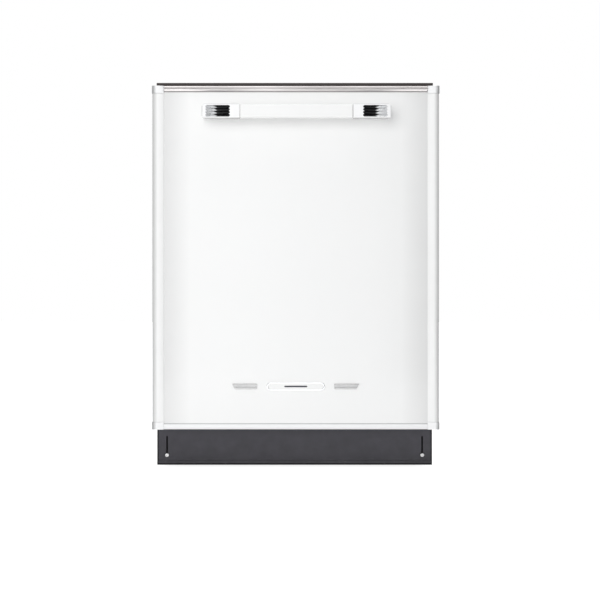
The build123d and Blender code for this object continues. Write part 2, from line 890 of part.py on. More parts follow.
def door_badges():
    front = y_door - badge_thickness
    plate = extrude(SlotOverall(plate_length, plate_height), badge_thickness)
    plate = chamfer(plate.faces().sort_by(Axis.Z)[-1].edges(), badge_thickness * 0.4)
    badges = [Pos(0, y_door, badge_height) * Rot(90, 0, 0) * plate]
    half = badge_bar_length / 2
    tall = badge_bar_height / 2
    for side in (-1, 1):
        x = side * badge_spacing / 2
        bar_badge = block(x - half, x + half, front, y_door, badge_height - tall, badge_height + tall)
        badges.append(chamfer(bar_badge.faces().sort_by(Axis.Y)[0].edges(), badge_thickness * 0.5))
    return badges


keep("door_badges", *door_badges())

# ---------------------------------------------------------------- controls on the top edge
fascia_front = y_door + top_return
fascia_back = y_liner - wire
control_y = (fascia_front + fascia_back) / 2 - 4
half_fascia = half_panel - sheet


def control_fascia():
    fascia = block(-half_fascia, half_fascia, fascia_front, fascia_back, z_fascia_low, z_fascia)
    for x in button_places.values():
        w = button_width / 2 + gap
        d = button_depth / 2 + gap
        fascia -= block(x - w, x + w, control_y - d, control_y + d, z_fascia_low - 1, z_fascia + 1)
    w = lens_width / 2
    d = lens_depth / 2
    return fascia - block(-w, w, control_y - d, control_y + d, z_fascia - lens_thickness, z_fascia + 1)


keep("control_fascia", control_fascia())
keep(
    "display_lens",
    block(
        -lens_width / 2, lens_width / 2, control_y - lens_depth / 2, control_y + lens_depth / 2,
        z_fascia - lens_thickness, z_fascia,
    ),
)
for name, x in button_places.items():
    w = button_width / 2
    d = button_depth / 2
    foot = z_fascia_low - gap - 1
    crown = block(x - w, x + w, control_y - d, control_y + d, foot, z_fascia + button_travel)
    crown = fillet(crown.faces().sort_by(Axis.Z)[-1].edges(), 0.8)
    skirt_top = z_fascia_low - gap
    skirt = block(x - w - 3, x + w + 3, control_y - d - 2, control_y + d + 2, skirt_top - 2, skirt_top)
    keep(name, crown + skirt)

# ---------------------------------------------------------------- latch
y_pivot = y_liner - hook_pivot
z_pivot = latch_level + hook_thick / 2


def latch_housing():
    top = z_fascia_low - sheet
    back = y_liner - sheet
    low = latch_level - 14
    body = block(-latch_half, latch_half, back - latch_depth, back, low, top)
    pocket = hook_half + 0.4
    body -= block(-pocket, pocket, y_pivot - 9, back + 1, low + 3, top + 1)
    return body + rod_x(3, -pocket - 1, pocket + 1, y_pivot, z_pivot)


keep("latch_housing", latch_housing())


def latch_hook():
    tip = y_tub + tub_sheet + 2 + 6
    hook = block(-hook_half, hook_half, y_pivot, tip, latch_level, latch_level + hook_thick)
    nib = block(-hook_half, hook_half, tip - 4, tip, latch_level, latch_level + hook_thick + nib_rise)
    hook += fillet(nib.edges().filter_by(Axis.X).sort_by(Axis.Z)[-1], 1.2)
    hook += rod_x(5.5, -hook_half, hook_half, y_pivot, z_pivot)
    return hook - rod_x(3 + turn_fit, -hook_half - 1, hook_half + 1, y_pivot, z_pivot)


keep("latch_hook", latch_hook())
strike_front = y_tub + tub_sheet
strike = block(-strike_half, strike_half, strike_front, strike_front + 2, z_ceiling + wire, slot_high + 8)
strike -= block(-hook_half - 4, hook_half + 4, strike_front - 1, strike_front + 3, slot_low, slot_high)
keep("latch_strike", strike)


# ---------------------------------------------------------------- dispenser
def dispenser_housing():
    z = dispenser_height
    wide = dispenser_width / 2
    tall = dispenser_tall / 2
    lip = block(dispenser_x - wide, dispenser_x + wide, y_liner, lip_front, z - tall, z + tall)
    lip = fillet(lip.edges().filter_by(Axis.Y), 8.0)
    wide -= lip_margin + gap
    tall -= lip_margin + gap
    back = lip_front - dispenser_deep
    body = lip + block(dispenser_x - wide, dispenser_x + wide, back, y_liner + 1, z - tall, z + tall)
    half = cup_width / 2
    body -= block(
        cup_x - half, cup_x + half, lip_front - cup_deep, lip_front + 1, z - cup_tall / 2, z + cup_tall / 2
    )
    return body - rod_y(cap_stem + turn_fit, rinse_x, lip_front - 12, lip_front + 1, z)


keep("dispenser_housing", dispenser_housing())


def dispenser_lid():
    half = cup_width / 2 + lid_margin
    tall = cup_tall / 2 + lid_margin
    z = dispenser_height
    front = lip_front + gap
    lid = block(cup_x - half, cup_x + half, front, front + lid_thickness, z - tall, z + tall)
    lid = fillet(lid.edges().filter_by(Axis.Y), 6.0)
    top = front + lid_thickness
    rib = block(cup_x - 4, cup_x + 4, top, top + lid_thickness, z - tall / 2, z + tall / 2)
    return lid + rib


keep("dispenser_lid", dispenser_lid())


def rinse_aid_cap():
    front = lip_front + gap
    z = dispenser_height
    cap = rod_y(cap_radius, rinse_x, front, front + 4, z)
    cap += block(
        rinse_x - cap_radius + 2, rinse_x + cap_radius - 2, front + 3, front + cap_thickness, z - 3, z + 3
    )
    return cap + rod_y(cap_stem, rinse_x, front - 10, front + 1, z)


keep("rinse_aid_cap", rinse_aid_cap())

# ---------------------------------------------------------------- lower rack
half_lower = lower_rack_width / 2
z_wheel = z_floor + gap + wheel_radius
wheel_places = {
    "lower_front_wheels": y_rack_front + wheel_inset,
    "lower_rear_wheels": y_rack_back - wheel_inset,
}
wheel_in = half_lower + sheet * 2 + 1.0


def wheel_bracket(y):
    plate_out = half_lower + 2 * sheet
    plate = block(half_lower, plate_out, y - 13, y + 13, z_wheel - 8, lower_rack_level + 26)
    end = wheel_in + wheel_width + gap
    plate += rod_x(wheel_axle, plate_out - 1, end, y, z_wheel)
    return plate + rod_x(wheel_axle + 2, end, end + 2, y, z_wheel)


lower_shell = rack_shell(half_lower, lower_rack_level, lower_rack_height)
brackets = [wheel_bracket(y) for y in wheel_places.values()]
keep("lower_rack_basket", *lower_shell, *brackets, *[mirrored(b) for b in brackets])


def wheel(y):
    tyre = rod_x(wheel_radius, wheel_in, wheel_in + wheel_width, y, z_wheel)
    tyre = fillet(tyre.edges().filter_by(GeomType.CIRCLE), 2.0)
    return tyre - rod_x(wheel_axle + turn_fit, wheel_in - 1, wheel_in + wheel_width + 1, y, z_wheel)


for name, y in wheel_places.items():
    keep(name, wheel(y), mirrored(wheel(y)))

comb_first = y_rack_front + wire + cutlery_depth + 40.0
z_rack_floor = lower_rack_level + wire
comb_half = half_lower - 34.0
combs = []
for i in range(comb_count):
    y = comb_first + i * comb_pitch
    combs.append(comb(-comb_half, comb_half, y, z_rack_floor, comb_height, comb_teeth))
keep("lower_rack_tines", *combs)


def cutlery_basket():
    half = cutlery_width / 2
    front = y_rack_front + wire + 4
    low = z_rack_floor
    body = block(-half, half, front, front + cutlery_depth, low, low + cutlery_height)
    body = fillet(body.edges().filter_by(Axis.Z), 8.0)
    pitch = (cutlery_width - cutlery_wall) / cutlery_wells
    for i in range(cutlery_wells):
        left = -half + cutlery_wall + i * pitch
        body -= block(
            left, left + pitch - cutlery_wall, front + cutlery_wall, front + cutlery_depth - cutlery_wall,
            low + cutlery_wall, low + cutlery_height + 1,
        )
    return body


keep("cutlery_basket", cutlery_basket())


# ---------------------------------------------------------------- spray arms
def spray_arm(length, low, bore, depth):
    """A flat arm that turns about Z on a bore open downwards."""
    half = length / 2
    arm = Pos(0, 0, low) * extrude(SlotOverall(length, arm_width), arm_thick * 0.6)
    arm = chamfer(arm.faces().sort_by(Axis.Z)[-1].edges(), 3.0)
    arm += rod_z(hub_radius, 0, 0, low, low + arm_thick)
    for side in (-1, 1):
        for step in (0.45, 0.7, 0.92):
            arm += rod_z(4.0, side * half * step, 0, low + arm_thick * 0.5, low + arm_thick * 0.75)
    arm -= rod_z(bore + turn_fit, 0, 0, low - 1, low + depth)
    return Pos(0, y_centre, 0) * arm


keep("lower_spray_arm", spray_arm(lower_arm_length, lower_arm_level, axle_radius, arm_thick - 3))

# ---------------------------------------------------------------- upper rack, runners and feed tube
half_upper = upper_rack_width / 2
stem_radius = 8.0
nut_height = 3.0
z_hub_low = tube_low - 4.0
z_upper_arm = z_hub_low - gap - arm_thick
z_nut_top = z_upper_arm - gap

rail_out = half_tub - guide_depth + rail_thickness + ease
rail_in = rail_out - rail_thickness
rail_low = guide_level + (guide_height - rail_height) / 2
guide_front = y_tub + guide_inset
guide_back = y_rack_back - wire
groove_low = guide_level + (guide_height - runner_height) / 2


def rail_guide():
    guide = block(rail_in - ease, half_tub, guide_front, guide_back, guide_level, guide_level + guide_height)
    pocket_top = rail_low + rail_height + gap
    return guide - block(
        rail_in - 1, rail_out + gap, guide_front - 1, guide_back + 1, rail_low - gap, pocket_top
    )


keep("rail_guides", rail_guide(), mirrored(rail_guide()))


def upper_rail():
    front = guide_front + wire
    rail = block(rail_in, rail_out, front, guide_back - wire, rail_low, rail_low + rail_height)
    groove = block(
        rail_in - 1, rail_in + rail_groove, front - 1, guide_back + 1,
        groove_low - gap, groove_low + runner_height + gap,
    )
    return rail - groove


keep("upper_rail_right", upper_rail())
keep("upper_rail_left", mirrored(upper_rail()))


def runner(y):
    shoe_out = rail_in + rail_groove - gap
    top = groove_low + runner_height
    return block(half_upper, shoe_out, y - runner_length / 2, y + runner_length / 2, groove_low, top)


upper_shell = rack_shell(half_upper, upper_rack_level, upper_rack_height)
runners = [runner(y_rack_front + wheel_inset), runner(y_rack_back - wheel_inset)]
z_upper_floor = upper_rack_level + wire
dividers = []
for x in (-110.0, 0.0, 110.0):
    row = comb(y_rack_front + 30, y_rack_back - 30, 0, 0, comb_height, comb_teeth + 2)
    dividers.append(Pos(x + wire / 2, 0, z_upper_floor) * Rot(0, 0, 90) * row)
keep("upper_rack_basket", *upper_shell, *runners, *[mirrored(r) for r in runners], *dividers)


def upper_feed_tube():
    back = nozzle_front - dock_gap
    half = tube_width / 2
    tube = block(-half, half, y_centre - half, back, tube_low, upper_rack_level)
    tube = fillet(tube.edges().filter_by(Axis.Y), 4.0)
    tube += rod_z(hub_radius - 6, 0, y_centre, z_hub_low, upper_rack_level)
    tube += rod_z(stem_radius, 0, y_centre, z_nut_top - nut_height, z_hub_low + 1)
    return tube + rod_z(stem_radius + 6, 0, y_centre, z_nut_top - nut_height, z_nut_top)


keep("upper_feed_tube", upper_feed_tube())
keep("upper_spray_arm", spray_arm(upper_arm_length, z_upper_arm, stem_radius, arm_thick + 1))

# ---------------------------------------------------------------- write every node
for name, solids in pieces.items():
    export_step(Compound(children=solids), f"parts/{name}.step")
print(len(pieces), "nodes")
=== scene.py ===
"""Finishes, fine pieces, light and camera of a built-in dishwasher.

Shapes are drawn in millimetres and stored in metres: X to the right seen from the front, the door towards -Y, Z up.
"""

import json
import math

import bmesh
import bpy
from mathutils import Matrix, Vector

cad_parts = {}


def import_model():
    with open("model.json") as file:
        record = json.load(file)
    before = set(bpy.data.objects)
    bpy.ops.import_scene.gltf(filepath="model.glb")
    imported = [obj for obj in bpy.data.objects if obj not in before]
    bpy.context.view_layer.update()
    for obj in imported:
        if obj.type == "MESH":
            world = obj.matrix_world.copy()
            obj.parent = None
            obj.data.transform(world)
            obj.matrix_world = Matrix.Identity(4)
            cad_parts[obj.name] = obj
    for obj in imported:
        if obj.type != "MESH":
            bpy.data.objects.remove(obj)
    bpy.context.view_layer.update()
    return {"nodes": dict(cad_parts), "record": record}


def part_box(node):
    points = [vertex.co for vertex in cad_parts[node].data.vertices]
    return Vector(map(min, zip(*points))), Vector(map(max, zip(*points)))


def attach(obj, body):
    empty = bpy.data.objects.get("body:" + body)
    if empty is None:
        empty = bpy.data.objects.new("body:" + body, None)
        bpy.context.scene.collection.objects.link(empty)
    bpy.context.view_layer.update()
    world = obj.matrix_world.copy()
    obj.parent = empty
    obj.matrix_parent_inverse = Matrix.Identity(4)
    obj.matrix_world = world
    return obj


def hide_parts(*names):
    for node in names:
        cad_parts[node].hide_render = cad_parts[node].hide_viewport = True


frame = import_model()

scene = bpy.context.scene
MM = 0.001  # metres
MERGE = 0.001  # millimetres: corners this close are made one
SIDES = (("left", -1), ("right", 1))
MIRROR = Matrix.Scale(-1, 4, (1, 0, 0))
WHITE = (1.0, 1.0, 1.0, 1.0)


class Span:
    """A node's box in millimetres: x0 to x1, y0 to y1 and z0 to z1, and its middle x, y, z."""

    def __init__(self, node):
        low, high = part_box(node)
        (self.x0, self.y0, self.z0), (self.x1, self.y1, self.z1) = low / MM, high / MM
        self.x, self.y, self.z = (self.x0 + self.x1) / 2, (self.y0 + self.y1) / 2, (self.z0 + self.z1) / 2


def sine(degrees):
    return math.sin(math.radians(degrees))


def cosine(degrees):
    return math.cos(math.radians(degrees))


# ---------------------------------------------------------------- finishes
class Finish:
    """One material in the making: nodes that end in a Principled shader, all placed by Object coordinates."""

    def __init__(self, name, colour, roughness=0.5, metallic=0.0, **sockets):
        self.material = bpy.data.materials.new(name)
        self.material.use_nodes = True
        self.tree = self.material.node_tree
        self.shader = self.tree.nodes["Principled BSDF"]
        self.place = self.add("TexCoord").outputs["Object"]
        self.colour, self.relief = colour, None
        self.put("Base Color", (*colour, 1.0))
        self.put("Roughness", roughness)
        self.put("Metallic", metallic)
        for socket, value in sockets.items():
            self.put(socket.replace("_", " "), value)
        self.material.diffuse_color = (*colour, 1.0)

    def add(self, kind, **settings):
        node = self.tree.nodes.new("ShaderNode" + kind)
        for key, value in settings.items():
            if key in node.inputs:
                node.inputs[key].default_value = value
            else:
                setattr(node, key, value)
        return node

    def join(self, source, target):
        self.tree.links.new(source, target)

    def put(self, socket, value):
        """Sets a shader socket to a value, or feeds it from another node's output."""
        if isinstance(value, bpy.types.NodeSocket):
            self.join(value, self.shader.inputs[socket])
        else:
            self.shader.inputs[socket].default_value = value

    def along(self, axis):
        """The place along an axis, in metres."""
        split = self.add("SeparateXYZ")
        self.join(self.place, split.inputs["Vector"])
        return split.outputs[axis]

    def math(self, operation, *values):
        """A sum on sockets and numbers."""
        node = self.add("Math", operation=operation)
        for value, socket in zip(values, node.inputs):
            if isinstance(value, bpy.types.NodeSocket):
                self.join(value, socket)
            else:
                socket.default_value = value
        return node.outputs["Value"]

    def off_centre(self):
        """Distance from the machine's upright middle plane, in metres."""
        return self.math("ABSOLUTE", self.along("X"))

    def spot(self, stretch):
        """Object coordinates in millimetres, drawn out along an axis by a small factor."""
        node = self.add("Mapping", Scale=[s / MM for s in stretch])
        self.join(self.place, node.inputs["Vector"])
        return node.outputs["Vector"]

    def noise(self, size, detail=2.0, stretch=(1, 1, 1), roughness=0.5):
        """Soft noise whose patches are about size millimetres across."""
        node = self.add("TexNoise", Scale=1.0 / size, Detail=detail, Roughness=roughness)
        self.join(self.spot(stretch), node.inputs["Vector"])
        return node.outputs["Fac"]

    def cells(self, size):
        """Crystal cells about size millimetres across: a random value for each, and the distance to its middle."""
        node = self.add("TexVoronoi", Scale=1.0 / size)
        self.join(self.spot((1, 1, 1)), node.inputs["Vector"])
        return node

    def tint(self, factor, dark, light, low=0.3, high=0.7):
        """A colour between two, by a factor."""
        node = self.add("ValToRGB")
        stops = node.color_ramp.elements
        stops[0].position, stops[0].color = low, (*dark, 1.0)
        stops[1].position, stops[1].color = high, (*light, 1.0)
        self.join(factor, node.inputs["Fac"])
        return node.outputs["Color"]

    def level(self, factor, low, high, start=0.3, stop=0.7):
        """A number between two, by a factor."""
        node = self.add("MapRange", **{"From Min": start, "From Max": stop, "To Min": low, "To Max": high})
        self.join(factor, node.inputs["Value"])
        return node.outputs["Result"]

    def tone(self, factor, dark, light, low=0.3, high=0.7):
        """The colour drifts between two, each given as itself or as a share of the finish's own."""
        dark, light = (shade(self.colour, c) if isinstance(c, (int, float)) else c for c in (dark, light))
        self.put("Base Color", self.tint(factor, dark, light, low, high))

    def gloss(self, *drift):
        self.put("Roughness", self.level(*drift))

    def height(self, low, high):
        """0 to 1 between two heights, in millimetres."""
        return self.level(self.along("Z"), 0.0, 1.0, low * MM, high * MM)

    def bump(self, factor, depth):
        """Raises the surface by up to depth millimetres where the factor is 1; each call adds to the last."""
        node = self.add("Bump", Strength=1.0, Distance=depth * MM)
        self.join(factor, node.inputs["Height"])
        if self.relief:
            self.join(self.relief, node.inputs["Normal"])
        self.relief = node.outputs["Normal"]
        self.put("Normal", self.relief)
        return self


def shade(colour, factor):
    return tuple(min(1.0, c * factor) for c in colour)


def enamel(name, colour, first=None, last=None, shade_share_at_edge=1.0):
    """Thick gloss paint: a faint orange peel, a slow drift of tone and fine dust in the gloss. With its last three
    values, painted shade darkens it to that share of its colour, from one distance off the centre line to another."""
    f = Finish(name, colour, 0.2, Coat_Weight=0.35, Coat_Roughness=0.06, IOR=1.5)
    if first is None:
        f.tone(f.noise(240, 3), 0.985, 1.0)
    else:
        # Painted shade: the colour darkens from the first distance off the centre line to the last, with a little
        # random mottle.
        away = f.level(f.off_centre(), 0.0, 1.0, first * MM, last * MM)
        painted_shade_and_mottle = f.math("ADD", away, f.level(f.noise(40, 3), -0.02, 0.02))
        f.tone(painted_shade_and_mottle, colour, shade_share_at_edge, 0.0, 1.0)
    f.gloss(f.noise(30, 4), 0.17, 0.25)
    return f.bump(f.noise(5.0, 1), 0.012).bump(f.noise(90, 1), 0.05).material


def polished(name, colour, roughness=0.06):
    """Plated and buffed metal with faint wipe marks."""
    f = Finish(name, colour, roughness, 1.0)
    f.gloss(f.noise(40, 5, (0.25, 1, 1)), roughness * 0.6, roughness * 1.8)
    f.tone(f.noise(120, 2), 0.96, colour)
    return f.bump(f.noise(14, 3), 0.006).material


def brushed(name, colour, roughness):
    """Rolled or brushed steel: long fine lines across, and a slow drift of gloss."""
    f = Finish(name, colour, roughness, 1.0)
    line = f.noise(0.6, 3, (0.02, 1, 1), 0.7)
    f.tone(line, 0.88, 1.06, 0.25, 0.75)
    f.gloss(f.noise(160, 2), roughness - 0.02, roughness + 0.04, 0.2, 0.8)
    return f.bump(line, 0.02).material


def spangled(name, colour):
    """Hot-dip galvanised sheet: crystals a few millimetres to a centimetre across, dulled by handling."""
    f = Finish(name, colour, 0.45, 0.85)
    grey = f.add("SeparateColor")
    f.join(f.cells(13).outputs["Color"], grey.inputs["Color"])
    big, small = f.level(grey.outputs["Red"], 0.0, 0.55, 0.0, 1.0), f.level(
        f.cells(5).outputs["Distance"], 0.0, 0.45, 0.0, 0.8,
    )
    mixed = f.math("ADD", big, small)
    f.tone(mixed, 0.78, 1.12, 0.1, 0.9)
    f.gloss(f.math("ADD", mixed, f.noise(160, 3)), 0.36, 0.6, 0.4, 1.5)
    return f.bump(mixed, 0.02).bump(f.noise(200, 2), 0.25).material


def plated(name, colour):
    """Zinc-plated steel: a slight yellow and blue cast, fine scratches."""
    f = Finish(name, colour, 0.35, 1.0)
    red, green, blue = colour
    cold, warm = shade((red, green, blue * 1.06), 0.92), (red * 1.06, green * 1.03, blue * 0.93)
    f.tone(f.noise(26, 3), cold, warm)
    f.gloss(f.noise(9, 4, (1, 0.15, 1)), 0.26, 0.46)
    return f.bump(f.noise(1.2, 3, (1, 0.1, 1)), 0.01).material


def moulded(name, colour, roughness, grain=0.02, gloss_drift=0.08, sheen=0.45):
    """Moulded plastic: a fine grain, slow change of gloss and slight sink marks."""
    f = Finish(name, colour, roughness, 0.0, Specular_IOR_Level=sheen)
    f.tone(f.noise(55, 3), 0.9, 1.06)
    f.gloss(f.noise(18, 4), roughness - gloss_drift, roughness + gloss_drift)
    return f.bump(f.noise(0.9, 2), grain).bump(f.noise(45, 1), 0.12).material


def powder_coat(name, colour, roughness, foot, head):
    """Baked powder paint: a pebbled skin, with painted shade that darkens it from the head height down to the foot
    height.
    """
    f = Finish(name, colour, roughness, 0.0, Specular_IOR_Level=0.5)
    # Painted shade: darker from the head height down to the foot height, with random mottle.
    painted_shade_and_mottle = f.math("ADD", f.height(foot, head), f.level(f.noise(35, 5), -0.2, 0.2))
    f.tone(painted_shade_and_mottle, 0.5, 1.08, 0.0, 1.0)
    f.gloss(f.noise(12, 3), roughness - 0.05, roughness + 0.07)
    return f.bump(f.noise(1.4, 2), 0.03).bump(f.noise(7, 1), 0.02).material


def rubbery(name, colour):
    """Extruded rubber: matt, with a fine tooth and a pale bloom here and there."""
    f = Finish(name, colour, 0.62, 0.0, Specular_IOR_Level=0.35)
    f.tone(f.noise(22, 4), colour, 1.5, 0.45, 0.85)
    return f.bump(f.noise(0.7, 2), 0.04).material


def felted(name, colour):
    """Matted fibres: short strands in two directions over a lumpy mat."""
    f = Finish(name, colour, 0.93, 0.0, Sheen_Weight=0.35, Sheen_Roughness=0.6, Specular_IOR_Level=0.2)
    one = f.noise(1.1, 4, (0.12, 1, 1), 0.7)
    two = f.noise(1.1, 4, (1, 0.12, 0.5), 0.7)
    strands = f.math("ADD", one, two)
    f.tone(strands, 0.55, 1.6, 0.75, 1.3)
    return f.bump(strands, 0.45).bump(f.noise(24, 3), 2.2).material


def coated_wire(name, colour):
    """Nylon dip coating: soft, slightly uneven, a little darker where water dries."""
    f = Finish(name, colour, 0.38, 0.0, Specular_IOR_Level=0.5)
    f.tone(f.noise(70, 3), 0.86, 1.05)
    f.gloss(f.noise(12, 3), 0.3, 0.48)
    return f.bump(f.noise(2.6, 2), 0.05).material


def smoked_lens(name, colour):
    """Dark clear window: very smooth, with a smear or two."""
    f = Finish(name, colour, 0.06, 0.0, Coat_Weight=0.6, Coat_Roughness=0.03)
    f.gloss(f.noise(14, 4, (0.4, 1, 1)), 0.04, 0.14)
    return f.material


def painted_flute_reflection_and_shade(name, colour, first, last, middle, pitch):
    """Plating with a painted dark reflection along a scoop, from one distance off the centre line to another, and
    painted shade deepest in the flutes.
    """
    f = Finish(name, colour, 0.3, 0.4, Specular_IOR_Level=0.15)
    turns = 2 * math.pi / pitch
    wave = f.math("COSINE", f.math("MULTIPLY_ADD", f.along("Z"), turns / MM, -turns * middle))
    # Painted dark reflection: none at the first distance off the centre line, darkest at the last.
    deep = f.level(f.off_centre(), 0.0, 1.2, first * MM, last * MM)
    # Painted shade in each flute's channel.
    painted_flute_shade = f.level(wave, 0.42, -0.42, -1.0, 1.0)
    f.tone(f.math("ADD", deep, painted_flute_shade), colour, (0.012, 0.012, 0.013), 0.2, 0.85)
    f.gloss(f.noise(6, 4), 0.22, 0.38)
    return f.bump(f.noise(9, 3), 0.01).material


STEEL, CHROME = (0.60, 0.61, 0.62), (0.86, 0.87, 0.88)
PAINT, PALE_PAINT = (0.93, 0.93, 0.92), (0.95, 0.95, 0.95)
finishes = {
    "white_enamel": enamel("white enamel", PAINT),
    "bright_chrome": polished("bright chrome", CHROME),
    # The dark strip carries a painted shadow along its lower edge over the door, and the kick plate carries painted
    # shade towards the floor.
    "dark_strip": powder_coat("dark brown strip", (0.050, 0.040, 0.038), 0.36, 819, 829),
    "kick_grey": powder_coat("dark grey powder coat", (0.0545, 0.0520, 0.0628), 0.5, 5, 72),
    "galvanised": spangled("galvanised sheet", (0.50, 0.52, 0.53)),
    "stainless": brushed("stainless sheet", STEEL, 0.31),
    "zinc_steel": plated("zinc plated steel", (0.58, 0.59, 0.60)),
    "black_plastic": moulded("black plastic", (0.022, 0.022, 0.024), 0.48),
    "grey_plastic": moulded("grey plastic", (0.36, 0.38, 0.40), 0.42),
    "pump_plastic": moulded("charcoal plastic", (0.07, 0.075, 0.08), 0.5),
    "blue_plastic": moulded("blue plastic", (0.045, 0.16, 0.42), 0.35),
    "seal_rubber": rubbery("door seal rubber", (0.028, 0.028, 0.030)),
    "felt": felted("insulating felt", (0.052, 0.052, 0.056)),
    "coated_wire": coated_wire("nylon coated wire", (0.40, 0.43, 0.46)),
    "dark_glass": smoked_lens("smoked lens", (0.006, 0.006, 0.008)),
    "button_plastic": moulded("satin button", (0.45, 0.47, 0.49), 0.3, 0.008, 0.05),
}
satin_strip = polished("satin strip", (0.71, 0.68, 0.675), 0.36)
screw_zinc = polished("bright zinc", (0.90, 0.90, 0.90), 0.34)
# Pale paint on the bottom strip and on the handle ends' lands, in place of plating: a painted reflection of the white
# surroundings.
pale_paint_as_reflection = enamel("pale cap", PALE_PAINT)
# Grey paint as painted shade: on the handle ends' rims and on the line in the bottom strip's groove.
painted_edge_shade = enamel("painted edge shade", (0.50, 0.50, 0.50))
# Enamels with painted shade towards the door's sides: the panel's side margins, the mouldings' rounded outer edges and
# the corner caps' outer ends.
panel_enamel = enamel("door panel enamel", PAINT, 222.0, 276.0, 0.85)
moulding_enamel = enamel("moulding enamel", PAINT, 290.5, 301.5, 0.54)
cap_enamel = enamel("corner cap enamel", PALE_PAINT, 293.0, 299.5, 0.40)
painted_groove_shade = moulded("painted groove shade", (0.30, 0.29, 0.285), 0.5)
# Near-black as painted shade: along the kick plate's lower hem, down its sides and behind its slots.
painted_shade_black = moulded("painted shade black", (0.003, 0.003, 0.0035), 0.8, sheen=0.05)
satin_badge = brushed("satin badge metal", (0.50, 0.50, 0.50), 0.24)
slots = {row["node"]: row["material_slot"] for row in frame["record"]["subparts"]}
bodies_of = {node: body for body, nodes in frame["record"]["behaviour"]["bodies"].items() for node in nodes}
for node, item in frame["nodes"].items():
    item.data.materials.clear()
    # The door panel takes the enamel with painted shade at its side margins.
    item.data.materials.append(panel_enamel if node == "door_outer_panel" else finishes[slots[node]])


# ---------------------------------------------------------------- shapes
class Form:
    """A mesh in the making, in millimetres."""

    def __init__(self):
        self.mesh = bmesh.new()

    def prism(self, outline, axis, low, high):
        """A flat outline, in the other two coordinates, carried straight along an axis."""
        index = "XYZ".index(axis)

        def place(point, along):
            spot = list(point)
            spot.insert(index, along)
            return spot

        start = [self.mesh.verts.new(place(p, low)) for p in outline]
        end = [self.mesh.verts.new(place(p, high)) for p in outline]
        faces = [self.mesh.faces.new(start), self.mesh.faces.new(end)]
        for i in range(len(outline)):
            j = (i + 1) % len(outline)
            faces.append(self.mesh.faces.new((start[i], start[j], end[j], end[i])))
        return faces

    def box(self, low, high, round=0.0, segments=3):
        """A box, its edges rounded when a radius is given."""
        outline = [(low[0], low[1]), (high[0], low[1]), (high[0], high[1]), (low[0], high[1])]
        faces = self.prism(outline, "Z", low[2], high[2])
        if round:
            self.soften(faces, round, segments)
        return self

    def soften(self, faces, round, segments=3, least=30.0):
        """Rounds each edge of these faces that turns more than the least angle, in degrees."""
        bmesh.ops.recalc_face_normals(self.mesh, faces=faces)
        edges = dict.fromkeys(e for f in faces for e in f.edges if len(e.link_faces) == 2)
        return self.bevel([e for e in edges if e.calc_face_angle(0) > math.radians(least)], round, segments)

    def bevel(self, edges, round, segments):
        bmesh.ops.bevel(
            self.mesh, geom=edges, offset=round, offset_type="OFFSET", segments=segments, profile=0.5,
            affect="EDGES", clamp_overlap=True,
        )
        return self

    def lathe(self, profile, axis, centre, sides=48):
        """Turns (radius, height) points round an axis through the centre; one that ends off the axis is closed."""
        index = "XYZ".index(axis)
        others = [i for i in range(3) if i != index]
        rings = []
        for radius, along in profile:
            ring = []
            for k in range(1 if radius < 1e-6 else sides):
                turn = 2 * math.pi * k / sides
                spot = [0.0, 0.0, 0.0]
                spot[index] = centre[index] + along
                spot[others[0]] = centre[others[0]] + radius * math.cos(turn)
                spot[others[1]] = centre[others[1]] + radius * math.sin(turn)
                ring.append(self.mesh.verts.new(spot))
            rings.append(ring)
        if profile[0][0] > 1e-6 and profile[-1][0] > 1e-6:
            rings.append(rings[0])
        for a, b in zip(rings, rings[1:]):
            for k in range(sides):
                n = (k + 1) % sides
                corners = list(dict.fromkeys((a[k % len(a)], a[n % len(a)], b[n % len(b)], b[k % len(b)])))
                if len(corners) > 2:
                    self.mesh.faces.new(corners)
        return self

    def line(self, points, closed=False):
        """Joins points by bare edges, for a wire."""
        verts = [self.mesh.verts.new(p) for p in points]
        pairs = list(zip(verts, verts[1:]))
        if closed:
            pairs.append((verts[-1], verts[0]))
        for pair in pairs:
            self.mesh.edges.new(pair)
        return self

    def flip_x(self):
        """Adds the same shape on the other side of the machine."""
        made = bmesh.ops.duplicate(self.mesh, geom=self.mesh.verts[:] + self.mesh.edges[:] + self.mesh.faces[:])
        for item in made["geom"]:
            if isinstance(item, bmesh.types.BMVert):
                item.co.x = -item.co.x
        faces = [item for item in made["geom"] if isinstance(item, bmesh.types.BMFace)]
        bmesh.ops.reverse_faces(self.mesh, faces=faces)
        return self

    def take(self, *shapes):
        for shape in shapes:
            self.mesh.from_mesh(plain(shape))
        return self

    def bare(self):
        """The plain mesh, still in millimetres."""
        mesh = bpy.data.meshes.new("shape")
        self.mesh.to_mesh(mesh)
        self.mesh.free()
        return mesh


def plain(shape):
    """The mesh of a shape that may still be a form."""
    return shape.bare() if isinstance(shape, Form) else shape


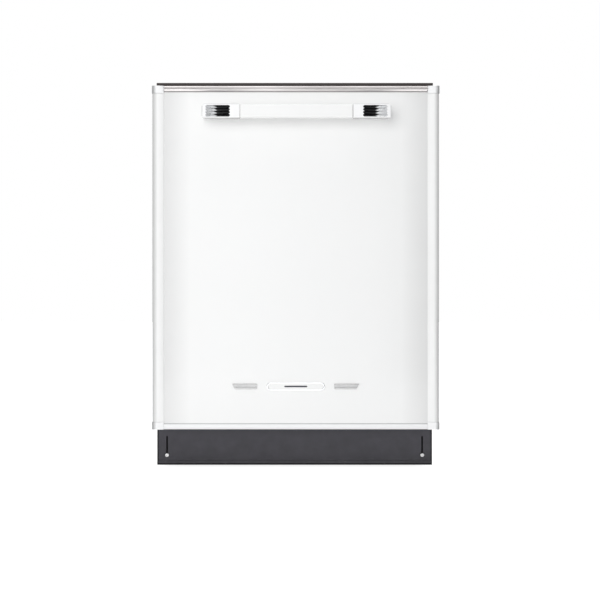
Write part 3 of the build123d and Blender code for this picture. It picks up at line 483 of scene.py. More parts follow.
def piece(name, body, slot, shape, *replaced, finish=None, others=(), even=True, angle=32.0):
    """Makes a finished piece from a shape in millimetres, on a body, in a slot's finish, in place of nodes.

    Doubles are merged, faces point outwards, and edges that turn more than the angle stay sharp. A finish given here
    takes the place of the slot's, and others serve the faces that are marked for them.
    """
    mesh, work = plain(shape), bmesh.new()
    work.from_mesh(mesh)
    bmesh.ops.remove_doubles(work, verts=work.verts, dist=MERGE)
    bmesh.ops.recalc_face_normals(work, faces=work.faces)
    work.to_mesh(mesh)
    work.free()
    mesh.shade_smooth()
    mesh.set_sharp_from_angle(angle=math.radians(angle))
    mesh.transform(Matrix.Scale(MM, 4))
    mesh.name = name
    marked = [face.material_index for face in mesh.polygons]
    mesh.materials.clear()
    mesh.materials.append(finish or finishes[slot])
    if others:
        for other in others:
            mesh.materials.append(other)
        mesh.polygons.foreach_set("material_index", marked)
    item = bpy.data.objects.new(name, mesh)
    scene.collection.objects.link(item)
    if even:
        item.modifiers.new("Even shading", "WEIGHTED_NORMAL").keep_sharp = True
    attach(item, body)
    if replaced:
        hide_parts(*replaced)
    return item


def dress(node, name, shape, **more):
    """A finished piece in place of one node, on its body and in its slot."""
    return piece(name, bodies_of[node], slots[node], shape, node, **more)


def arc(cx, cy, radius, start, stop, steps):
    """Points of an arc, in degrees."""
    turns = [math.radians(start + (stop - start) * i / steps) for i in range(steps + 1)]
    return [(cx + radius * math.cos(t), cy + radius * math.sin(t)) for t in turns]


def round_rect(x0, x1, y0, y1, radius, steps=5):
    """Outline of a rectangle with round corners, anticlockwise."""
    r = min(radius, (x1 - x0) / 2, (y1 - y0) / 2)
    points = []
    for cx, cy, start in ((x1 - r, y0 + r, -90), (x1 - r, y1 - r, 0), (x0 + r, y1 - r, 90), (x0 + r, y0 + r, 180)):
        points += arc(cx, cy, r, start, start + 90, steps)
    return points


def plate(outlines, thickness, round, steps=2):
    """A flat plate from closed outlines, inner ones being holes, centred on its own plane, as a mesh in millimetres."""
    curve = bpy.data.curves.new("plate", "CURVE")
    curve.dimensions = "2D"
    curve.fill_mode = "BOTH"
    curve.extrude = thickness / 2 - round
    curve.bevel_depth = round
    curve.bevel_resolution = steps
    curve.offset = -round
    for outline in outlines:
        spline = curve.splines.new("POLY")
        spline.points.add(len(outline) - 1)
        for point, spot in zip(spline.points, outline):
            point.co = (*spot, 0.0, 1.0)
        spline.use_cyclic_u = True
    holder = bpy.data.objects.new("plate", curve)
    scene.collection.objects.link(holder)
    mesh = bpy.data.meshes.new_from_object(holder.evaluated_get(bpy.context.evaluated_depsgraph_get()))
    bpy.data.objects.remove(holder)
    bpy.data.curves.remove(curve)
    return mesh


def stand(shape, plane, offset):
    """Turns a flat plate onto the plane XZ, YZ or XY, at an offset along the third axis."""
    turns = {
        "XY": Matrix(((1, 0, 0, 0), (0, 1, 0, 0), (0, 0, 1, offset), (0, 0, 0, 1))),
        "XZ": Matrix(((1, 0, 0, 0), (0, 0, 1, offset), (0, 1, 0, 0), (0, 0, 0, 1))),
        "YZ": Matrix(((0, 0, 1, offset), (1, 0, 0, 0), (0, 1, 0, 0), (0, 0, 0, 1))),
    }
    mesh = plain(shape)
    mesh.transform(turns[plane])
    return mesh


# ---------------------------------------------------------------- node trees that repeat and follow
def new_tree(name, inputs):
    """A Geometry Nodes tree with named inputs; returns it with its input and output nodes."""
    tree = bpy.data.node_groups.new(name, "GeometryNodeTree")
    tree.interface.new_socket("Geometry", in_out="INPUT", socket_type="NodeSocketGeometry")
    for label, kind in inputs.items():
        tree.interface.new_socket(label, in_out="INPUT", socket_type="NodeSocket" + kind)
    tree.interface.new_socket("Geometry", in_out="OUTPUT", socket_type="NodeSocketGeometry")
    return tree, tree.nodes.new("NodeGroupInput"), tree.nodes.new("NodeGroupOutput")


def chain(tree, *links):
    """Links nodes. A link: a node, its output, the next node, its input."""
    for node, output, after, intake in links:
        tree.links.new(node.outputs[output], after.inputs[intake])


def finished(tree, given, made, source, output):
    """The tail that every tree ends in: real geometry in the given finish."""
    real, coat = tree.nodes.new("GeometryNodeRealizeInstances"), tree.nodes.new("GeometryNodeSetMaterial")
    chain(
        tree,
        (source, output, real, "Geometry"),
        (real, "Geometry", coat, "Geometry"),
        (given, "Finish", coat, "Material"),
        (coat, "Geometry", made, "Geometry"),
    )
    return tree


def wire_tree():
    """Bare edges become round wires with bent corners and closed ends."""
    tree, given, made = new_tree(
        "Round wires", {"Wire radius": "Float", "Bend radius": "Float", "Sides": "Int", "Finish": "Material"}
    )
    add = tree.nodes.new
    path, bend, ring = add("GeometryNodeMeshToCurve"), add("GeometryNodeFilletCurve"), add(
        "GeometryNodeCurvePrimitiveCircle"
    )
    tube, smooth = add("GeometryNodeCurveToMesh"), add("GeometryNodeSetShadeSmooth")
    bend.mode = "POLY"
    bend.inputs["Count"].default_value = 5
    bend.inputs["Limit Radius"].default_value = True
    tube.inputs["Fill Caps"].default_value = True
    chain(
        tree,
        (given, "Geometry", path, "Mesh"),
        (path, "Curve", bend, "Curve"),
        (given, "Bend radius", bend, "Radius"),
        (given, "Sides", ring, "Resolution"),
        (given, "Wire radius", ring, "Radius"),
        (bend, "Curve", tube, "Curve"),
        (ring, "Curve", tube, "Profile Curve"),
        (tube, "Mesh", smooth, "Geometry"),
    )
    return finished(tree, given, made, smooth, "Geometry")


def repeat_tree():
    """A shape repeated in a line, by a step."""
    tree, given, made = new_tree("In a line", {"Count": "Int", "Step": "Vector", "Finish": "Material"})
    across, copies = tree.nodes.new("GeometryNodeMeshLine"), tree.nodes.new("GeometryNodeInstanceOnPoints")
    chain(
        tree,
        (given, "Count", across, "Count"),
        (given, "Step", across, "Offset"),
        (across, "Mesh", copies, "Points"),
        (given, "Geometry", copies, "Instance"),
    )
    return finished(tree, given, made, copies, "Instances")


def spin_tree():
    """A shape repeated evenly round an axis."""
    tree, given, made = new_tree(
        "Round an axis", {"Count": "Int", "Centre": "Vector", "Axis": "Vector", "Finish": "Material"}
    )
    add = tree.nodes.new
    points, copies = add("GeometryNodePoints"), add("GeometryNodeInstanceOnPoints")
    number, share, turn = add("GeometryNodeInputIndex"), add("ShaderNodeMath"), add("ShaderNodeMath")
    rotation, spin = add("FunctionNodeAxisAngleToRotation"), add("GeometryNodeRotateInstances")
    share.operation, turn.operation = "DIVIDE", "MULTIPLY"
    turn.inputs[1].default_value = 2 * math.pi
    spin.inputs["Local Space"].default_value = False
    chain(
        tree,
        (given, "Count", points, "Count"),
        (points, "Points", copies, "Points"),
        (given, "Geometry", copies, "Instance"),
        (number, "Index", share, 0),
        (given, "Count", share, 1),
        (share, 0, turn, 0),
        (given, "Axis", rotation, "Axis"),
        (turn, 0, rotation, "Angle"),
        (copies, "Instances", spin, "Instances"),
        (rotation, "Rotation", spin, "Rotation"),
        (given, "Centre", spin, "Pivot Point"),
    )
    return finished(tree, given, made, spin, "Instances")


WIRES, REPEAT, SPIN = wire_tree(), repeat_tree(), spin_tree()


def grown(tree, shape, **values):
    """What a node tree makes of a shape, as a plain mesh. A value's name is its input's, with _ for a space."""
    holder = bpy.data.objects.new("grown", plain(shape))
    scene.collection.objects.link(holder)
    work = holder.modifiers.new("grow", "NODES")
    work.node_group = tree
    for socket in tree.interface.items_tree:
        label = socket.name.replace(" ", "_")
        if socket.in_out == "INPUT" and label in values:
            work[socket.identifier] = values[label]
    bpy.context.view_layer.update()
    result = bpy.data.meshes.new_from_object(holder.evaluated_get(bpy.context.evaluated_depsgraph_get()))
    holder.modifiers.clear()
    bpy.data.objects.remove(holder)
    return result


def wires(form, radius, bend, slot, sides):
    return grown(WIRES, form, Wire_radius=radius, Bend_radius=bend, Sides=sides, Finish=finishes[slot])


def repeated(mesh, slot, count, step):
    return grown(REPEAT, mesh, Count=count, Step=Vector(step), Finish=finishes[slot])


def spun(mesh, slot, count, centre, axis):
    return grown(SPIN, mesh, Count=count, Centre=Vector(centre), Axis=Vector(axis), Finish=finishes[slot])


# ---------------------------------------------------------------- front of the door
PANEL = Span("door_outer_panel")
Y_DOOR = PANEL.y0
TRIM = Span("door_side_trim_right")
DOOR_HALF = TRIM.x1
SEAM, MOULDING_ROUND = 0.35, 6.5


def curve3(a, b, c, steps):
    """Points of the arc through three points."""
    (ax, ay), (bx, by), (cx, cy) = a, b, c
    d = 2 * (ax * (by - cy) + bx * (cy - ay) + cx * (ay - by))
    ux = ((ax**2 + ay**2) * (by - cy) + (bx**2 + by**2) * (cy - ay) + (cx**2 + cy**2) * (ay - by)) / d
    uy = ((ax**2 + ay**2) * (cx - bx) + (bx**2 + by**2) * (ax - cx) + (cx**2 + cy**2) * (bx - ax)) / d
    radius = math.hypot(ax - ux, ay - uy)
    start, middle, stop = (math.atan2(y - uy, x - ux) for x, y in (a, b, c))
    turn = (stop - start) % (2 * math.pi)
    if (middle - start) % (2 * math.pi) > turn:
        turn -= 2 * math.pi
    angles = [start + turn * i / steps for i in range(steps + 1)]
    return [(ux + radius * math.cos(angle), uy + radius * math.sin(angle)) for angle in angles]


def spread(low, high, count):
    return [low + (high - low) * i / count for i in range(count + 1)]


def skin(form, a, b):
    """Faces between two loops that have the same number of corners."""
    for i in range(len(a)):
        j = (i + 1) % len(a)
        form.mesh.faces.new((a[i], a[j], b[j], b[i]))


def loft(form, loops, ends=False):
    """Skins a stack of loops that have the same number of points, and closes its ends if asked to."""
    stack = [[form.mesh.verts.new(p) for p in loop] for loop in loops]
    for a, b in zip(stack, stack[1:]):
        skin(form, a, b)
    if ends:
        form.mesh.faces.new(stack[0])
        form.mesh.faces.new(stack[-1])
    return stack


def moulding_outline(side, grow=0.0):
    """Section of a side moulding in X and Y: a step off the panel, a gentle crown and a full round outer edge."""
    inner, outer = TRIM.x0, DOOR_HALF + grow
    front, back = TRIM.y0 - grow, TRIM.y1
    radius = MOULDING_ROUND
    points = [(inner, Y_DOOR), (inner, Y_DOOR - 0.7 - grow)]
    points += curve3(
        (inner + 0.5, Y_DOOR - 1.2 - grow), ((inner + outer - radius) / 2, front + 0.75), (outer - radius, front), 10,
    )
    points += arc(outer - radius, front + radius, radius, -90, 0, 12)[1:]
    points += [
        (outer, back - 0.8), (outer - 0.8, back), (PANEL.x1 + 0.8, back), (PANEL.x1, back - 0.8), (PANEL.x1, Y_DOOR),
    ]
    return [(side * x, y) for x, y in points]


for name, side in SIDES:
    moulding = Form()
    moulding.prism(moulding_outline(side), "Z", TRIM.z0 + SEAM, TRIM.z1 - SEAM)
    dress(f"door_side_trim_{name}", f"side_moulding_{name}", moulding, finish=moulding_enamel)


def cross_strip(node, edge, inward, reach):
    """Section in Y and Z of the strip along the top or bottom edge: a broad bead and a flat for the seam."""
    box = Span(node)

    def at(y, z):
        return (Y_DOOR + y, edge + inward * z)

    points = curve3(at(-2.0, 0), at(-4.0, 5.4), at(-0.8, 10.9), 18) + [at(-0.8, 12.6)]
    points += [at(0, 12.6), at(0, 3.0), at(reach, 3.0), at(reach, 0)]
    strip = Form()
    strip.prism(points, "X", box.x0 + SEAM, box.x1 - SEAM)
    return strip


TOP = Span("door_top_trim")
BOTTOM = Span("door_bottom_trim")
EDGES = (("top", TOP.z1, -1, TOP.y1 - Y_DOOR), ("bottom", BOTTOM.z0, 1, BOTTOM.y1 - Y_DOOR))
# The top strip is satin metal; the bottom strip takes the pale paint as a painted reflection.
for (row, *edge), coat in zip(EDGES, (satin_strip, pale_paint_as_reflection)):
    dress(f"door_{row}_trim", f"{row}_strip", cross_strip(f"door_{row}_trim", *edge), finish=coat)

# Dark strips set in the top and bottom strips' grooves, and at the top strip's ends by the corner caps: painted shade
# in the grooves and painted shadow gaps.
seam = Form()
for edge, inward, inset, width in ((TOP.z1, -1, 10.3, 1.9), (BOTTOM.z0, 1, 11.0, 1.5)):
    lines = sorted((edge + inward * inset, edge + inward * (inset + width)))
    seam.box((TOP.x0 + SEAM, Y_DOOR - 1.5, lines[0]), (TOP.x1 - SEAM, Y_DOOR - 0.2, lines[1]), 0.3, 2)
# The bottom groove's strip takes the lighter grey painted edge shade.
for face in seam.mesh.faces:
    face.material_index = 1 if face.calc_center_median().z < TOP.z0 - 20 else 0
for x0, x1 in ((TOP.x0 + SEAM, TOP.x0 + 1.2), (TOP.x1 - 1.2, TOP.x1 - SEAM)):
    seam.box((x0, Y_DOOR - 3.2, TOP.z1 - 10.0), (x1, Y_DOOR - 0.2, TOP.z1 - 1.0), 0.2, 2)
piece("strip_seams", "door", "grey_plastic", seam, finish=painted_groove_shade, others=(painted_edge_shade,))


def corner_cap(side, edge, inward, reach):
    """A pillow that closes the strip and the moulding, softened all round its face."""
    caps = Span("door_corner_caps")
    proud = caps.x1 - DOOR_HALF
    section = [(side * min(abs(x), caps.x1), y) for x, y in moulding_outline(side, 1.2) if abs(x) > TRIM.x0 - 1]
    form = Form()
    faces = form.prism(section, "Z", *sorted((edge - inward * proud, edge + inward * 15.0)))
    bmesh.ops.recalc_face_normals(form.mesh, faces=faces)
    rims = dict.fromkeys(e for f in faces[:2] for e in f.edges)
    spans = {e: sorted(v.co.y for v in e.verts) for e in rims}
    form.bevel([e for e in rims if spans[e][0] < Y_DOOR + 1 and spans[e][1] < Y_DOOR + 20], 1.7, 5)
    x0, x1 = sorted((side * TRIM.x0, side * (PANEL.x1 + 0.5)))
    z2, z3 = sorted((edge - inward * proud, edge + inward * 3.0))
    form.box((x0, Y_DOOR - 0.6, z2), (x1, Y_DOOR + reach, z3))
    return form


for name, side in SIDES:
    for row, *edge in EDGES:
        dress("door_corner_caps", f"corner_cap_{row}_{name}", corner_cap(side, *edge), angle=40, finish=cap_enamel)

# ---------------------------------------------------------------- handle
HANDLE = Span("handle_bar")
grip = Form().box((HANDLE.x0 + SEAM, HANDLE.y0, HANDLE.z0), (HANDLE.x1 - SEAM, HANDLE.y1, HANDLE.z1))
grip.soften(grip.mesh.faces[:], 2.6, 5)
dress("handle_bar", "handle_grip", grip, angle=40)

FLUTES, FLUTE_PITCH, FLUTE_HALF, FLUTE_DEPTH, FLUTE_STEPS = 4, 5.8, 2.5, 1.4, 10
SCOOP_LAND, SCOOP_LENGTH, SCOOP_DEPTH = 22.5, 46.0, 8.0
BLOCK_ROUND, BLOCK_FACE, BLOCK_NECK, BLOCK_EDGE = 6.0, 11.0, 13.4, 1.1


def bracket(side):
    """The handle's end: a face with a flat land and a fluted scoop, on a neck that narrows to the door."""
    end = Span("handle_bracket_right")
    radius = ((SCOOP_LENGTH / 2) ** 2 + SCOOP_DEPTH**2) / (2 * SCOOP_DEPTH)
    axis_x, axis_y = end.x0 + SCOOP_LAND + SCOOP_LENGTH / 2, end.y0 + SCOOP_DEPTH - radius
    middle, half, reach = end.z, (end.z1 - end.z0) / 2, FLUTES * FLUTE_PITCH / 2

    def outline(z, depth):
        away = abs(z - middle)
        tip = end.x1 - BLOCK_ROUND + math.sqrt(max(0.0, BLOCK_ROUND**2 - max(0.0, away - half + BLOCK_ROUND) ** 2))
        front = end.y0 + BLOCK_EDGE - math.sqrt(BLOCK_EDGE**2 - max(0.0, away - half + BLOCK_EDGE) ** 2)
        points = [(end.x0 + SEAM, front + 1.0), (end.x0 + SEAM + 0.3, front + 0.3), (end.x0 + SEAM + 1.0, front)]
        if depth is None:
            points += [(x, front) for x in spread(axis_x - SCOOP_LENGTH / 2, axis_x + SCOOP_LENGTH / 2, 30)]
        else:
            edge = math.degrees(math.asin((end.y0 - axis_y) / (radius + depth)))
            points += arc(axis_x, axis_y, radius + depth, 180 - edge, edge, 30)
        points += arc(tip - 1.4, front + 1.4, 1.4, -90, 0, 5)
        points += [(tip, end.y0 + BLOCK_FACE), (tip, Y_DOOR), (end.x0 + 12.0, Y_DOOR), (end.x0 + 12.0, HANDLE.y1 + 2.0)]
        points += [(end.x0 + 10.0, HANDLE.y1), (end.x0 + SEAM, HANDLE.y1), (end.x0 + SEAM, end.y0 + BLOCK_FACE)]
        slope = (1 - BLOCK_NECK / (2 * half)) / (Y_DOOR - end.y0 - BLOCK_FACE)
        return [
            (side * x, y, middle + (z - middle) * (1 - slope * max(0.0, y - end.y0 - BLOCK_FACE))) for x, y in points
        ]

    rims = [half - BLOCK_EDGE * (1 - cosine(a)) for a in (0, 22, 45, 68, 90)] + [half - 2.0]
    levels = [(middle - z, None) for z in rims] + [(middle - reach - 0.2, None), (middle - reach + 0.1, 0.0)]
    across = [2 * i / FLUTE_STEPS - 1 for i in range(FLUTE_STEPS + 1)]
    for k in range(FLUTES):
        flute = middle + (k - (FLUTES - 1) / 2) * FLUTE_PITCH
        levels += [(flute + FLUTE_HALF * t, FLUTE_DEPTH * math.sqrt(max(0.0, 1 - t * t))) for t in across]
    levels += [(middle + reach - 0.1, 0.0), (middle + reach + 0.2, None)] + [(middle + z, None) for z in reversed(rims)]
    form = Form()
    rows = loft(form, [outline(z, depth) for z, depth in levels])
    for row in (rows[0], rows[-1]):
        bmesh.utils.face_split(form.mesh.faces.new(row), row[-7], row[-1])
    bmesh.ops.recalc_face_normals(form.mesh, faces=form.mesh.faces)
    for face in form.mesh.faces:
        spot = face.calc_center_median()
        depth, off_middle = spot.y - end.y0, abs(spot.z - middle)
        sunk = 0.05 < depth < SCOOP_DEPTH + FLUTE_DEPTH + 0.1 and off_middle < reach + 0.2
        scooped = sunk and abs(abs(spot.x) - axis_x) < SCOOP_LENGTH / 2 + 2.4
        rim = depth < 3.0 and (off_middle > half - BLOCK_EDGE * 0.6 or abs(spot.x) > end.x1 - 1.0)
        # Scoop faces take the painted reflection and shade, rim faces the painted edge shade.
        face.material_index = 1 if scooped else 2 if rim else 0
    return form


# Painted dark reflection and painted shade for the handle ends' fluted scoops.
scoop = painted_flute_reflection_and_shade("painted reflection and shade in flutes", CHROME, 171.5, 163.0, HANDLE.z + FLUTE_PITCH / 2, FLUTE_PITCH)
# Handle ends: pale paint on the land as a painted reflection, painted dark reflection and shade in the scoop, painted
# shade on the rims.
for name, side in SIDES:
    dress(
        f"handle_bracket_{name}", f"handle_end_{name}", bracket(side), finish=pale_paint_as_reflection, others=(scoop, painted_edge_shade),
        angle=35,
    )

# ---------------------------------------------------------------- plain badges
BADGE = Span("door_badges")
BAR_HALF_LENGTH, BAR_HALF_HEIGHT, BAR_PLACE, BAR_SLANT = 26.0, 5.5, 107.5, 6.0


def dash(side, low, high, front, back):
    """A strip across the bar badge whose outer end is cut at a slant."""
    def outer(z):
        return BAR_PLACE + BAR_HALF_LENGTH - BAR_SLANT * (BAR_HALF_HEIGHT - z) / (2 * BAR_HALF_HEIGHT)

    inner = BAR_PLACE - BAR_HALF_LENGTH
    corners = [(inner, low), (outer(low), low), (outer(high), high), (inner, high)]
    form = Form()
    faces = form.prism([(side * x, BADGE.z + z) for x, z in corners], "Y", front, back)
    return form.soften(faces, 0.35, 2)


for name, side in SIDES:
    bar = dash(side, -BAR_HALF_HEIGHT, BAR_HALF_HEIGHT, Y_DOOR - 1.1, Y_DOOR)
    for low, high in ((1.6, BAR_HALF_HEIGHT), (-BAR_HALF_HEIGHT, -1.6)):
        bar.take(dash(side, low, high, BADGE.y0, Y_DOOR - 0.9))
    dress("door_badges", f"badge_bar_{name}", bar, angle=30, finish=satin_badge)


def pill(half_length, half_height, thickness, round, *holes):
    outline = round_rect(-half_length, half_length, -half_height, half_height, half_height, 12)
    return plate([outline, *holes], thickness, round)


badge = (
    ("badge_rim", pill(61.0, 8.5, 2.5, 0.8, round_rect(-58.4, 58.4, -5.9, 5.9, 5.9, 12)), 1.25, "bright_chrome"),
    ("badge_field", pill(58.9, 6.4, 1.0, 0.2), 0.6, "white_enamel"),
    ("badge_stripe", pill(24.0, 1.6, 0.8, 0.2), 1.3, "kick_grey"),
)
for name, mesh, depth, slot in badge:
    mesh = stand(mesh, "XZ", Y_DOOR - depth)
    mesh.transform(Matrix.Translation((0, 0, BADGE.z)))
    piece(name, "door", slot, mesh, *(["door_badges"] if name == "badge_rim" else []), angle=30)

# ---------------------------------------------------------------- shapes shared by several pieces
def circle(cx, cy, radius, steps=24):
    return arc(cx, cy, radius, 0, 360, steps)[:-1]


def moved(shape, *places):
    """Copies of a shape, each shifted to a place."""
    form, mesh = Form(), plain(shape)
    for place in places:
        copy = mesh.copy()
        copy.transform(Matrix.Translation(place))
        form.take(copy)
    return form


def facing(shape, direction, *places):
    """Copies of a shape whose +Z side is turned to a direction."""
    turned = plain(shape).copy()
    turned.transform(Vector((0, 0, 1)).rotation_difference(Vector(direction)).to_matrix().to_4x4())
    return moved(turned, *places)


def joined(*shapes):
    return Form().take(*shapes)


def cross_screw(radius, height):
    """A domed head with a cross recess, standing on its own plane."""
    arm, blade = radius * 0.6, radius * 0.15
    half = [(blade, -arm), (blade, -blade), (arm, -blade), (arm, blade), (blade, blade), (blade, arm)]
    cross = half + [(-x, -y) for x, y in half]
    head = plate([circle(0, 0, radius, 28), cross], height, height * 0.32, 3)
    head.transform(Matrix.Translation((0, 0, height / 2)))
    seat = Form().lathe(
        [(0, 0.02), (radius * 0.85, 0.02), (radius * 0.85, height * 0.4), (0, height * 0.4)], "Z", (0, 0, 0), 20,
    )
    return joined(head, seat)


def thread(radius, depth, pitch, start, stop):
    """Profile of a rod whose surface is ridged as a screw's is."""
    points = [(0.0, start), (radius - depth, start)]
    along = start + pitch / 2
    while along + pitch / 2 < stop:
        points += [(radius - depth, along - pitch * 0.35), (radius, along), (radius - depth, along + pitch * 0.35)]
        along += pitch
    return points + [(radius - depth, stop), (0.0, stop)]


SCREW_SINK = 0.3


def stamp(inset, depth, corner, run, base=0.0):
    """Loops of a smooth step pressed into a sheet: inset from the tile's edge, depth from a base, and corner radius."""
    times = spread(0.0, 1.0, 6)
    return [(inset + run * t, base + depth * t * t * (3 - 2 * t), max(corner - run * t, 1.0)) for t in times]


def pressed(*tiles, wall=1.2, corner_steps=6):
    """Tiles of one steel sheet pressed in steps, lying flat, upper face at height 0. A tile: x0, x1, y0, y1, loops."""
    form = Form()
    for x0, x1, y0, y1, loops in tiles:
        outlines = [[(x, y, 0.0) for x, y in ((x1, y0), (x1, y1), (x0, y1), (x0, y0)) for _ in range(corner_steps + 1)]]
        for inset, height, corner in loops:
            flat = round_rect(x0 + inset, x1 - inset, y0 + inset, y1 - inset, corner, corner_steps)
            outlines.append([(x, y, height) for x, y in flat])
        form.mesh.faces.new(loft(form, outlines)[-1])
    bmesh.ops.remove_doubles(form.mesh, verts=form.mesh.verts, dist=MERGE)
    rim = [edge for edge in form.mesh.edges if len(edge.link_faces) == 1]
    made = bmesh.ops.duplicate(form.mesh, geom=form.mesh.verts[:] + form.mesh.edges[:] + form.mesh.faces[:])
    bmesh.ops.translate(
        form.mesh, vec=(0, 0, -wall), verts=[item for item in made["geom"] if isinstance(item, bmesh.types.BMVert)],
    )
    under = made["vert_map"]
    for a, b in [edge.verts for edge in rim]:
        form.mesh.faces.new((a, b, under[b], under[a]))
    return form


# ---------------------------------------------------------------- kick panel and the strip over the door
KICK = Span("kick_panel")
SCREW = Span("kick_panel_screws")
SHEET, KICK_HEM, SLOT_HALF, SLOT_TOP = 1.2, 9.0, 1.65, 67.0
KICK_FACE = KICK.y1 - SHEET
head_radius = (SCREW.z1 - SCREW.z0) / 2
screw_x = SCREW.x1 - head_radius
SCREW_XS = (-screw_x, screw_x)
kick_outlines = [round_rect(KICK.x0, KICK.x1, KICK.z0, KICK.z1, 1.0, 3)]
for x in SCREW_XS:
    kick_outlines.append(
        round_rect(x - SLOT_HALF, x + SLOT_HALF, SCREW.z - SLOT_HALF, SLOT_TOP + SLOT_HALF, SLOT_HALF, 8)
    )
kick_sheet = stand(plate(kick_outlines, SHEET, 0.3), "XZ", KICK_FACE + SHEET / 2)
hem = Form()
fold = [(KICK_FACE, KICK.z0 + KICK_HEM), (KICK_FACE - SHEET + 0.2, KICK.z0 + KICK_HEM)]
fold += [(KICK_FACE - SHEET, KICK.z0 + KICK_HEM - 0.3), (KICK_FACE - SHEET, KICK.z0 + 3.2)]
fold += arc(KICK_FACE, KICK.z0 + SHEET, SHEET, 180, 270, 6) + [(KICK_FACE + SHEET * 0.6, KICK.z0)]
fold += [(KICK_FACE + SHEET * 0.6, KICK.z0 + 1.0), (KICK_FACE + 0.1, KICK.z0 + 2.0)]
hem.prism(fold, "X", KICK.x0, KICK.x1)
kick_mesh = joined(kick_sheet, hem).bare()
# The hem's lowest faces are black as painted shade under the kick plate.
for face in kick_mesh.polygons:
    face.material_index = 1 if face.center.z < KICK.z0 + 3.2 else 0
dress("kick_panel", "kick_plate", kick_mesh, others=(painted_shade_black,))

# Black strips down the kick plate's sides: painted shade along its edges.
side_shade_strips = Form()
for x in (KICK.x0, KICK.x1 - 2.4):
    side_shade_strips.box((x, KICK_FACE - SHEET, KICK.z0 + 0.2), (x + 2.4, KICK_FACE + 0.2, KICK.z1 - 0.2), 0.3, 2)
piece("kick_edging", bodies_of["kick_panel"], "black_plastic", side_shade_strips, finish=painted_shade_black)
# Black pads behind the kick plate's slots: painted shade in the openings.
shade_pad = Form()
for x in SCREW_XS:
    shade_pad.box(
        (x - 5.0, KICK_FACE + SHEET + 0.1, SCREW.z - 5.5), (x + 5.0, KICK_FACE + SHEET + 0.8, SLOT_TOP + 6.0), 0.2, 2,
    )
piece("slot_backing", "cabinet", "black_plastic", shade_pad, finish=painted_shade_black)

kick_heads = facing(
    cross_screw(head_radius, 2.6), (0, -1, 0), *[(x, KICK_FACE - SCREW_SINK, SCREW.z) for x in SCREW_XS],
)
shanks = Form()
for x in SCREW_XS:
    shanks.lathe(thread(1.5, 0.3, 1.2, KICK_FACE - 0.4, SCREW.y1), "Y", (x, 0, SCREW.z), 16)
dress("kick_panel_screws", "kick_screws", joined(kick_heads, shanks), finish=screw_zinc)

STRIP = Span("top_front_strip")
PLATES = Span("counter_brackets")
EARS, BOLT_STEPS, BOLT_Y = (-180.0, 180.0), (-12.5, 12.5), STRIP.y0 + 2.0 + 22.5


def bolts(*middles):
    return [circle(x + step, BOLT_Y, 2.6) for x in middles for step in BOLT_STEPS]


front_angle = Form()
bend = [(STRIP.y0 + y, STRIP.z0 + z) for y, z in ((0, 0.4), (0.4, 0), (1.6, 0), (2.0, 0.4))]
bend += [(STRIP.y0 + y, STRIP.z1 - z) for y, z in ((2.0, 1.2), (6.0, 1.2), (6.0, 0.05))]
bend += arc(STRIP.y0 + 1.8, STRIP.z1 - 1.8, 1.8, 90, 180, 5)
front_angle.prism(bend, "X", STRIP.x0, STRIP.x1)
flange = plate([round_rect(STRIP.x0, STRIP.x1, STRIP.y0 + 3.0, STRIP.y1, 4.0), *bolts(*EARS)], 1.2, 0.2)
dress("top_front_strip", "counter_strip", joined(front_angle, stand(flange, "XY", STRIP.z1 - 0.6)))
ears = [plate([round_rect(x - 25, x + 25, PLATES.y0, PLATES.y1, 5.0), *bolts(x)], 2.0, 0.3) for x in EARS]
dress("counter_brackets", "fixing_plates", stand(joined(*ears), "XY", PLATES.z0 + 1.0))

# ---------------------------------------------------------------- cabinet sheets
SIDE = Span("side_panel_right")
TRAY = Span("base_tray")
CABINET_LEG, SIDE_SPLIT, BACK_SPLIT = 140.0, 470.0, 486.0


def side_sheet():
    """A side panel: two pressed fields over a pressed foot, and folded edges along the top and the back."""
    inner, face = SIDE.x0, SIDE.x1
    upper = stamp(34, -1.8, 26, 7) + stamp(66, -1.4, 12, 5, base=-1.8)
    fields = pressed(
        (SIDE.y0, SIDE.y1, CABINET_LEG, SIDE_SPLIT, stamp(34, -2.6, 26, 7)),
        (SIDE.y0, SIDE.y1, SIDE_SPLIT, SIDE.z1, upper),
    )
    foot = pressed((TRAY.y0 + 0.5, SIDE.y1, SIDE.z0, CABINET_LEG - 0.05, stamp(26, 0.8, 16, 5)))
    form = Form().take(stand(joined(fields, foot), "YZ", face))
    form.box((inner, SIDE.y0 + 1.0, SIDE.z1 - SHEET), (face - 0.2, SIDE.y1 - SHEET, SIDE.z1), 0.3, 2)
    form.box((inner, SIDE.y1 - 2 * SHEET, CABINET_LEG), (face - 0.2, SIDE.y1 - SHEET, SIDE.z1 - SHEET), 0.3, 2)
    return form.bare()


right_side = side_sheet()
left_side = right_side.copy()
left_side.transform(MIRROR)
dress("side_panel_right", "side_sheet_right", right_side)
dress("side_panel_left", "side_sheet_left", left_side)

BACK = Span("rear_panel")
back_xs = spread(BACK.x0, BACK.x1, 3)
back_zs = (BACK.z0, BACK_SPLIT, BACK.z1)
back_tiles = [
    (*xs, *zs, stamp(26, -2.6, 18, 7)) for xs in zip(back_xs, back_xs[1:]) for zs in zip(back_zs, back_zs[1:])
]
dress("rear_panel", "rear_sheet", stand(pressed(*back_tiles), "XZ", BACK.y1))

